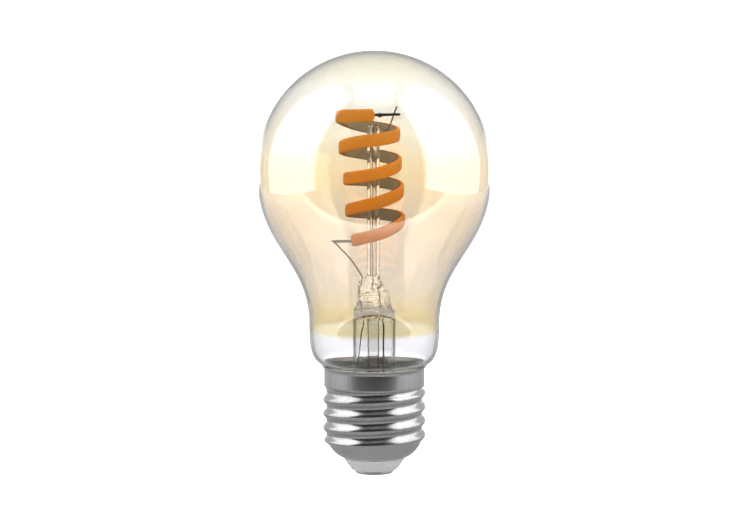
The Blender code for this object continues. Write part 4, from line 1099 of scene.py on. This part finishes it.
def sweep_tree():
    tree, given = geometry_tree("swept_strip", {
        "Width": ("number", 3 * MM), "Thickness": ("number", 1 * MM), "Rounding": ("number", 0.3 * MM),
        "Lower Size": ("number", 0.95), "Upper Size": ("number", 1.05), "End Round": ("number", 0.5 * MM),
        "Crown": ("number", 0.0)})
    curve = add(tree, "GeometryNodeMeshToCurve", {0: given["Geometry"]}).outputs[0]
    curve = add(tree, "GeometryNodeSetCurveNormal", {"Curve": curve}, mode="Z_UP").outputs[0]
    along = add(tree, "GeometryNodeSplineParameter").outputs
    length = add(tree, "GeometryNodeSplineLength").outputs["Length"]
    left = maths(tree, "SUBTRACT", length, along["Length"])
    near = maths(tree, "MINIMUM", left, along["Length"])
    share = maths(tree, "MINIMUM", maths(tree, "DIVIDE", near, given["End Round"]), 1.0)
    gap = maths(tree, "SUBTRACT", 1.0, share)
    round_end = maths(tree, "SQRT", maths(tree, "SUBTRACT", 1.04, maths(tree, "MULTIPLY", gap, gap)))
    size = add(tree, "ShaderNodeMapRange",
               {0: along["Factor"], 3: given["Lower Size"], 4: given["Upper Size"]}).outputs[0]
    section = add(tree, "GeometryNodeCurvePrimitiveQuadrilateral",
                  {"Width": given["Thickness"], "Height": given["Width"]}).outputs[0]
    section = add(tree, "GeometryNodeFilletCurve",
                  {"Curve": section, "Count": 6, "Radius": given["Rounding"], "Limit Radius": True},
                  mode="POLY").outputs[0]
    section = add(tree, "GeometryNodeResampleCurve", {"Curve": section, "Count": 56}).outputs[0]
    here = add(tree, "GeometryNodeInputPosition").outputs[0]
    place = add(tree, "ShaderNodeSeparateXYZ", {0: here}).outputs
    rise = maths(tree, "DIVIDE", place["Y"], maths(tree, "DIVIDE", given["Width"], 2.0))
    rise = maths(tree, "SUBTRACT", 1.0, maths(tree, "MULTIPLY", rise, rise))
    side = maths(tree, "DIVIDE", place["X"], maths(tree, "DIVIDE", given["Thickness"], 2.0))
    bulge = maths(tree, "MULTIPLY", maths(tree, "MULTIPLY", rise, side), given["Crown"])
    section = add(tree, "GeometryNodeSetPosition", {
        "Geometry": section, "Offset": add(tree, "ShaderNodeCombineXYZ", {0: bulge}).outputs[0]}).outputs[0]
    swept = add(tree, "GeometryNodeCurveToMesh",
                {"Curve": curve, "Profile Curve": section, "Fill Caps": True,
                 "Scale": maths(tree, "MULTIPLY", round_end, size)})
    end_tree(tree, swept.outputs[0], given)
    return tree


SWEEP = sweep_tree()


def strip(name, inset, trim, finish, **sizes):
    """One layer of the filament, an inset inside its outer face and trimmed by degrees at each end."""
    start, end = COIL_END_TURN + trim, COIL_TOP_TURN - trim
    turns = np.concatenate([np.linspace(start, start + TIP_TURN, 16),
                            np.linspace(start + TIP_TURN, end - TIP_TURN, 400)[1:],
                            np.linspace(end - TIP_TURN, end, 16)[1:]])
    path = [coil_point(d, inset) for d in turns]
    return grow(name, SWEEP, path_mesh(name, path), finish, **sizes)


silicone = strip("filament_silicone", 0.6 * MM, 0, SILICONE, Width=3.15 * MM, Thickness=1.0 * MM,
                 Rounding=0.42 * MM, Lower_Size=0.96, Upper_Size=1.03, End_Round=1.1 * MM,
                 Crown=0.16 * MM)
keep(silicone, "phosphor", "filament_phosphor")
core = strip("filament_core", 1.2 * MM, 0.4, CORE, Width=3.0 * MM, Thickness=0.16 * MM,
             Rounding=0.04 * MM, Lower_Size=0.96, Upper_Size=1.03, End_Round=0.6 * MM)
keep(core, "substrate", "filament_substrate")
backing = strip("filament_backing", 1.4 * MM, 0.9, STRIP, Width=2.8 * MM, Thickness=0.3 * MM,
                Rounding=0.12 * MM, Lower_Size=0.96, Upper_Size=1.03, End_Round=0.6 * MM)
keep(backing, "substrate")

# %% [markdown]
# ## Tabs, leads and wires
# A flat metal tab sticks out of each end of the filament, and a nickel wire is welded to it. A
# wire follows a path, so one node tree draws all of them: it sweeps a circle along the path and
# closes both ends. The seal wires are the reddish ones inside the press: the glass is fused
# round them. The lower leads go on down to the driver.

# %% Wire tree
def wire_tree():
    tree, given = geometry_tree("drawn_wire", {
        "Radius": ("number", 0.2 * MM), "Sides": ("count", 14)})
    curve = add(tree, "GeometryNodeMeshToCurve", {0: given["Geometry"]}).outputs[0]
    circle = add(tree, "GeometryNodeCurvePrimitiveCircle",
                 {"Resolution": given["Sides"], "Radius": given["Radius"]}).outputs[0]
    swept = add(tree, "GeometryNodeCurveToMesh",
                {"Curve": curve, "Profile Curve": circle, "Fill Caps": True})
    end_tree(tree, swept.outputs[0], given)
    return tree


WIRE = wire_tree()


def wire(name, points, diameter, finish, steps=8, sides=14):
    path = through([Vector(p) * MM for p in points], steps)
    return grow(name, WIRE, path_mesh(name, path), finish, Radius=diameter * MM / 2, Sides=sides)


# %% Filament tabs
WELD_RADIUS = 0.6 * MM


def tab(name, start, end, finish, bead=None):
    """A flat bar between two points, with a blob of weld where bead says."""
    start, end = Vector(start) * MM, Vector(end) * MM
    path = [start.lerp(end, k / 24) for k in range(25)]
    made = grow(name, SWEEP, path_mesh(name, path), finish, Width=0.66 * MM, Thickness=0.36 * MM,
                Rounding=0.08 * MM, Lower_Size=1.0, Upper_Size=1.0, End_Round=0.06 * MM)
    if bead:
        ball = lathe("weld", [(WELD_RADIUS * math.sin(a), WELD_RADIUS * math.cos(a))
                              for a in np.linspace(0, math.pi, 17)], finish, 24)
        ball.data.transform(Matrix.Translation(Vector(bead) * MM))
        merged = bmesh.new()
        merged.from_mesh(made.data)
        merged.from_mesh(ball.data)
        merged.to_mesh(made.data)
        merged.free()
        bpy.data.objects.remove(ball)
    return made


top_start = coil_point(COIL_TOP_TURN, 1.2 * MM) / MM
# The upper tab wears the darker copy of the tab metal, painted shade.
top_tab = tab("filament_tab_upper", top_start - Vector((0.9, 0, 0)), (6.6, -6.3, 92.3), TAB_METAL_PAINTED_SHADE,
              bead=(1.4, -7.15, 92.15))
keep(top_tab, "tab_metal", "filament_tab_top")
low_start = coil_point(COIL_END_TURN, 1.2 * MM) / MM
# The lower tab wears the lighter copy of the tab metal, painted light.
low_tab = tab("filament_tab_lower", low_start + Vector((0.3, -0.5, 0)), (-10.4, 2.9, 59.1), TAB_METAL_PAINTED_LIGHT)
keep(low_tab, "tab_metal", "filament_tab_bottom")

# %% Upper leads
COLUMN_WIRE = [(-0.45, 0, 50.9), (-0.55, 0.1, 60), (-0.35, 0.1, 70), (-0.5, 0, 80), (-0.25, 0, 86.4)]
UPPER_LEAD = [(-0.25, 0, 86.2), (-0.25, 0, 87.5), (-0.1, -0.2, 88.9), (0.5, -1.0, 89.2),
              (2.5, -3.0, 88.1), (3.4, -4.2, 88.4), (4.1, -5.2, 89.9), (5.2, -6.6, 93.2),
              (5.7, -7.0, 94.3)]
LOWER_LEAD = [(-10.9, 2.7, 59.35), (-10.3, 2.7, 59.0), (-9.7, 2.6, 58.5), (-6.1, 1.6, 54.9),
              (-3.7, 0.6, 51.7), (-3.1, 0.2, 50.6), (-2.9, 0, 49.3)]
keep(wire("lead_in_column", COLUMN_WIRE, 0.2, LEAD_NICKEL), "lead_nickel")
keep(wire("lead_to_upper_tab", UPPER_LEAD, 0.4, LEAD_NICKEL), "lead_nickel", "upper_lead_top")
keep(wire("lead_to_lower_tab", LOWER_LEAD, 0.36, LEAD_NICKEL), "lead_nickel", "upper_lead_bottom")

# %% Seal wires and lower leads
SEAL_LEFT = [(-2.9, 0, 49.2), (-3.35, 0, 48.2), (-3.55, 0, 46.5), (-3.5, 0, 44), (-3.05, 0, 42.2),
             (-2.87, 0, 40.75)]
SEAL_RIGHT = [(-0.25, 0, 50.85), (-0.5, 0, 48.6), (-0.75, 0, 47.8), (-0.2, -0.3, 47.5), (0.9, -0.2, 48.0),
              (1.45, 0, 48.4), (1.35, 0.2, 47.9), (0.95, 0.1, 47.4), (1.35, 0, 45.4), (1.6, 0, 43.6),
              (2.15, 0, 42.3), (2.34, 0, 40.9)]
board_front = -(0.8 + 0.28)
LEAD_LEFT = [(-2.87, 0, 40.6), (-2.7, 0, 38.8), (-3.25, 0, 36.2), (-3.55, 0, 33.6), (-3.75, 0, 31.6),
             (-4.2, -0.3, 27.5), (-4.3, -0.8, 24.0), (-4.3, board_front, 21.5), (-4.3, board_front, 17.9)]
LEAD_RIGHT = [(2.34, 0, 40.8), (2.36, 0, 36), (2.34, 0, 30), (2.36, -0.1, 27), (2.35, board_front, 22.6),
              (2.35, board_front, 17.9)]
keep(wire("seal_wire_left_red", SEAL_LEFT, 0.32, LEAD_SEAL), "lead_seal", "seal_wire_left")
keep(wire("seal_wire_right_bent", SEAL_RIGHT, 0.34, LEAD_SEAL, 6), "lead_seal", "seal_wire_right")
keep(wire("lead_down_left", LEAD_LEFT, 0.3, LEAD_COPPER), "lead_copper", "lower_lead_left")
keep(wire("lead_down_right", LEAD_RIGHT, 0.44, LEAD_COPPER), "lead_copper", "lower_lead_right")

# %% [markdown]
# ## Sleeves, cement and liner
# Woven fibre sleeves keep the leads apart where they reach the board. Cement, spread while wet
# and then baked, holds the glass in the cap. A film liner keeps the driver off the metal.

# %% Sleeves, cement and liner
def ring(name, outer, inner, base, top, finish, sides, centre=(0, 0), rough=0.0, rows=6):
    """An upright tube, with a rough skin if rough says how rough."""
    heights = np.linspace(top, base, rows + 1)
    line = [(outer, z) for z in heights] + [(inner, z) for z in heights[::-1]]
    line.append(line[0])

    def uneven(point):
        out = Vector((point.x, point.y, 0)).normalized()
        return point + (out + Vector((0, 0, 0.7))) * rough * noise.noise(point / (0.7 * MM))

    return lathe(name, line, finish, sides, centre, shift=uneven if rough else None)


for side in ("left", "right"):
    low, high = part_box(f"lead_sleeve_{side}")
    middle, outer = (low + high) / 2, (high.x - low.x) / 2
    sleeve = ring(f"fibre_sleeve_{side}", outer, 0.55 * MM, low.z, high.z, FIBRE, 32,
                  (middle.x, middle.y), 0.03 * MM, 12)
    keep(sleeve, "sleeve_fibre", f"lead_sleeve_{side}")
cement_low, cement_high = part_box("cement_ring")
cement = ring("base_cement", cement_high.x - 0.05 * MM, cement_high.x - 0.72 * MM, cement_low.z,
              cement_high.z - 0.05 * MM, CEMENT, 160, rough=0.06 * MM, rows=10)
keep(cement, "cement", "cement_ring")
liner_low, liner_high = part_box("insulating_liner")
liner = ring("film_liner", liner_high.x, liner_high.x - 0.5 * MM, liner_low.z, liner_high.z, LINER, 96)
keep(liner, "liner_film", "insulating_liner")

# %% [markdown]
# ## The driver and the radio
# Two small boards stand upright in the cap. Boxes and boards keep their CAD shape and get their
# finish. The wound choke, the round capacitor and the fuse resistor are made again, round and
# detailed. Rows of chip legs and header pins repeat, so a node tree lays one out along a line.

# %% Boards and boxes
CARRIED = {
    "driver_board": GREEN_BOARD, "wireless_board": BLACK_BOARD, "board_header": BLACK,
    "bridge_rectifier": BLACK, "driver_chip": BLACK, "radio_shield": ALUMINIUM,
    "film_capacitor": OCHRE,
}
for node, paint in CARRIED.items():
    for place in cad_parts[node].material_slots:
        place.material = paint
print("carried over:", sorted(CARRIED))

# %% Wound choke
def winding_tree():
    tree, given = geometry_tree("wound_wire", {
        "Turns": ("number", 9.0), "Coil Radius": ("number", 1.2 * MM),
        "Rise": ("number", 3 * MM), "Wire Radius": ("number", 0.2 * MM)})
    spiral = add(tree, "GeometryNodeCurveSpiral", {
        "Resolution": 28, "Rotations": given["Turns"], "Start Radius": given["Coil Radius"],
        "End Radius": given["Coil Radius"], "Height": given["Rise"]}).outputs[0]
    circle = add(tree, "GeometryNodeCurvePrimitiveCircle",
                 {"Resolution": 10, "Radius": given["Wire Radius"]}).outputs[0]
    swept = add(tree, "GeometryNodeCurveToMesh",
                {"Curve": spiral, "Profile Curve": circle, "Fill Caps": True})
    end_tree(tree, swept.outputs[0], given)
    return tree


drum_low, drum_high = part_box("power_inductor")
wound_low, wound_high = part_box("inductor_winding")
drum_middle = (drum_low + drum_high) / 2
drum_radius = (drum_high.x - drum_low.x) / 2
FLANGE, CORE_RADIUS, ROUND = 0.7 * MM, 0.8 * MM, 0.12 * MM


def drum():
    top, base = drum_high.z, drum_low.z
    half = [(drum_radius - ROUND, top), (drum_radius, top - ROUND), (drum_radius, top - FLANGE + ROUND),
            (drum_radius - ROUND, top - FLANGE), (CORE_RADIUS, top - FLANGE)]
    line = [(0, top)] + half + [(r, top + base - z) for r, z in half[::-1]] + [(0, base)]
    return lathe("choke_drum", line, FERRITE, 64, (drum_middle.x, drum_middle.y))


keep(drum(), "component_black", "power_inductor")
wire_radius = 0.19 * MM
wound_height = wound_high.z - wound_low.z - 2 * wire_radius
winding = grow("choke_winding", winding_tree(), path_mesh("winding_start", [(0, 0, 0), (0, 0, MM)]),
               COPPER, Turns=wound_height / (2.1 * wire_radius),
               Coil_Radius=drum_radius - 0.25 * MM - wire_radius, Rise=wound_height,
               Wire_Radius=wire_radius)
winding.data.transform(Matrix.Translation((drum_middle.x, drum_middle.y, wound_low.z + wire_radius)))
keep(winding, "winding_copper", "inductor_winding")

# %% Capacitor and fuse resistor
can_low, can_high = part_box("bulk_capacitor")
fuse_low, fuse_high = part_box("fuse_resistor")


def capacitor():
    """The crimped can in its shrunk sleeve, with a bare end on top."""
    radius, middle = (can_high.x - can_low.x) / 2, (can_low + can_high) / 2
    top, base = can_high.z, can_low.z
    line = [(0, top - 0.1 * MM), (0.78 * radius, top - 0.1 * MM), (0.82 * radius, top),
            (0.93 * radius, top), (radius, top - 0.25 * MM), (radius, base + 1.5 * MM),
            (0.93 * radius, base + 1.2 * MM), (0.93 * radius, base + 1.0 * MM), (radius, base + 0.7 * MM),
            (radius, base + 0.2 * MM), (0.93 * radius, base), (0, base)]
    made = lathe("round_capacitor", line, SLEEVE, 72, (middle.x, middle.y))
    made.data.materials.append(ALUMINIUM)
    for face in made.data.polygons:
        if face.center.z > top - 0.12 * MM and (face.center.xy - middle.xy).length < 0.8 * radius:
            face.material_index = 1
    return made


def fuse():
    """A dog-bone resistor: a ceramic rod with a cap pressed on each end."""
    radius, middle = (fuse_high.x - fuse_low.x) / 2, (fuse_low + fuse_high) / 2
    top, base = fuse_high.z, fuse_low.z
    waist = 0.82 * radius
    half = [(0, top), (0.7 * radius, top), (radius, top - 0.3 * MM), (radius, top - 1.1 * MM),
            (waist, top - 1.5 * MM)]
    line = half + [(r, top + base - z) for r, z in half[::-1]]
    return lathe("fuse_rod", line, BEIGE, 48, (middle.x, middle.y))


keep(capacitor(), "can_aluminium", "bulk_capacitor")
keep(fuse(), "component_beige", "fuse_resistor")

# %% Mains wires
live_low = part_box("live_wire")[0]
LIVE = [(0, 0, live_low.z / MM), (-1.1, -0.75, 6.1), (-3.0, -1.25, 6.8), (-4.3, -1.25, 8.1),
        (-4.3, -1.25, 9.7)]
neutral_low, neutral_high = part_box("neutral_wire")
NEUTRAL = [(7.3, -1.1, neutral_low.z / MM), (7.3, -1.1, 19.4), (7.9, -1.3, 20.0),
           (neutral_high.x / MM - 0.3, -2.3, 20.0)]
keep(wire("mains_wire_live", LIVE, 0.9, RED, sides=20), "wire_red", "live_wire")
keep(wire("mains_wire_neutral", NEUTRAL, 0.6, WHITE, sides=16), "wire_white", "neutral_wire")

# %% Legs and pins
def row_tree():
    tree, given = geometry_tree("row_of_pieces", {
        "Count": ("count", 4), "Spacing": ("number", 1 * MM)})
    step = add(tree, "ShaderNodeCombineXYZ", {0: given["Spacing"]}).outputs[0]
    line = add(tree, "GeometryNodeMeshLine", {"Count": given["Count"], "Offset": step}).outputs[0]
    copies = add(tree, "GeometryNodeInstanceOnPoints", {"Points": line, "Instance": given["Geometry"]})
    end_tree(tree, copies.outputs[0], given)
    return tree


ROW = row_tree()


def bar(name, path, width, thick):
    """A strip bent along a path in the YZ plane, as a mesh for one leg or pin."""
    points, faces = [], []
    for k, (y, z) in enumerate(path):
        before, after = path[max(k - 1, 0)], path[min(k + 1, len(path) - 1)]
        run = Vector((after[0] - before[0], after[1] - before[1])).normalized()
        side = Vector((-run.y, run.x)) * thick / 2
        for x, sign in ((-1, -1), (1, -1), (1, 1), (-1, 1)):
            points.append((x * width / 2, y + sign * side.x, z + sign * side.y))
    for k in range(len(path) - 1):
        a = 4 * k
        for n in range(4):
            m = (n + 1) % 4
            faces.append([a + n, a + m, a + 4 + m, a + 4 + n])
    faces += [[3, 2, 1, 0], [len(points) - 4 + n for n in range(4)]]
    made = solid(name, points, faces, None)
    mesh = made.data
    bpy.data.objects.remove(made)
    return mesh


def legs(name, node, side, count, spacing, sign):
    """Gull-wing legs under one long edge of a chip on the board's face."""
    low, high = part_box(node)
    face = low.y if sign > 0 else high.y
    edge = low.z if side < 0 else high.z
    top = face + sign * 0.55 * (high.y - low.y)
    path = [(top, edge), (top, edge + side * 0.3 * MM), (face, edge + side * 0.42 * MM),
            (face, edge + side * 0.85 * MM)]
    made = grow(name, ROW, bar(name, path, 0.4 * MM, 0.14 * MM), SOLDER, Count=count, Spacing=spacing)
    start = (low.x + high.x - (count - 1) * spacing) / 2
    made.data.transform(Matrix.Translation((start, 0, 0)))
    return keep(made, "tinned_contact")


legs("chip_legs_lower", "driver_chip", -1, 4, 1.1 * MM, 1)
legs("rectifier_legs_lower", "bridge_rectifier", -1, 2, 2.2 * MM, -1)
legs("rectifier_legs_upper", "bridge_rectifier", 1, 2, 2.2 * MM, -1)
header_low, header_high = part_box("board_header")
pin_path = [(header_low.y - 0.2 * MM, 0), (header_low.y - 1.5 * MM, 0)]
pins = grow("header_pins", ROW, bar("pin", pin_path, 0.4 * MM, 0.4 * MM), SOLDER, Count=4, Spacing=1.8 * MM)
middle = (header_low + header_high) / 2
pins.data.transform(Matrix.Translation((middle.x - 2.7 * MM, 0, middle.z)))
keep(pins, "tinned_contact")
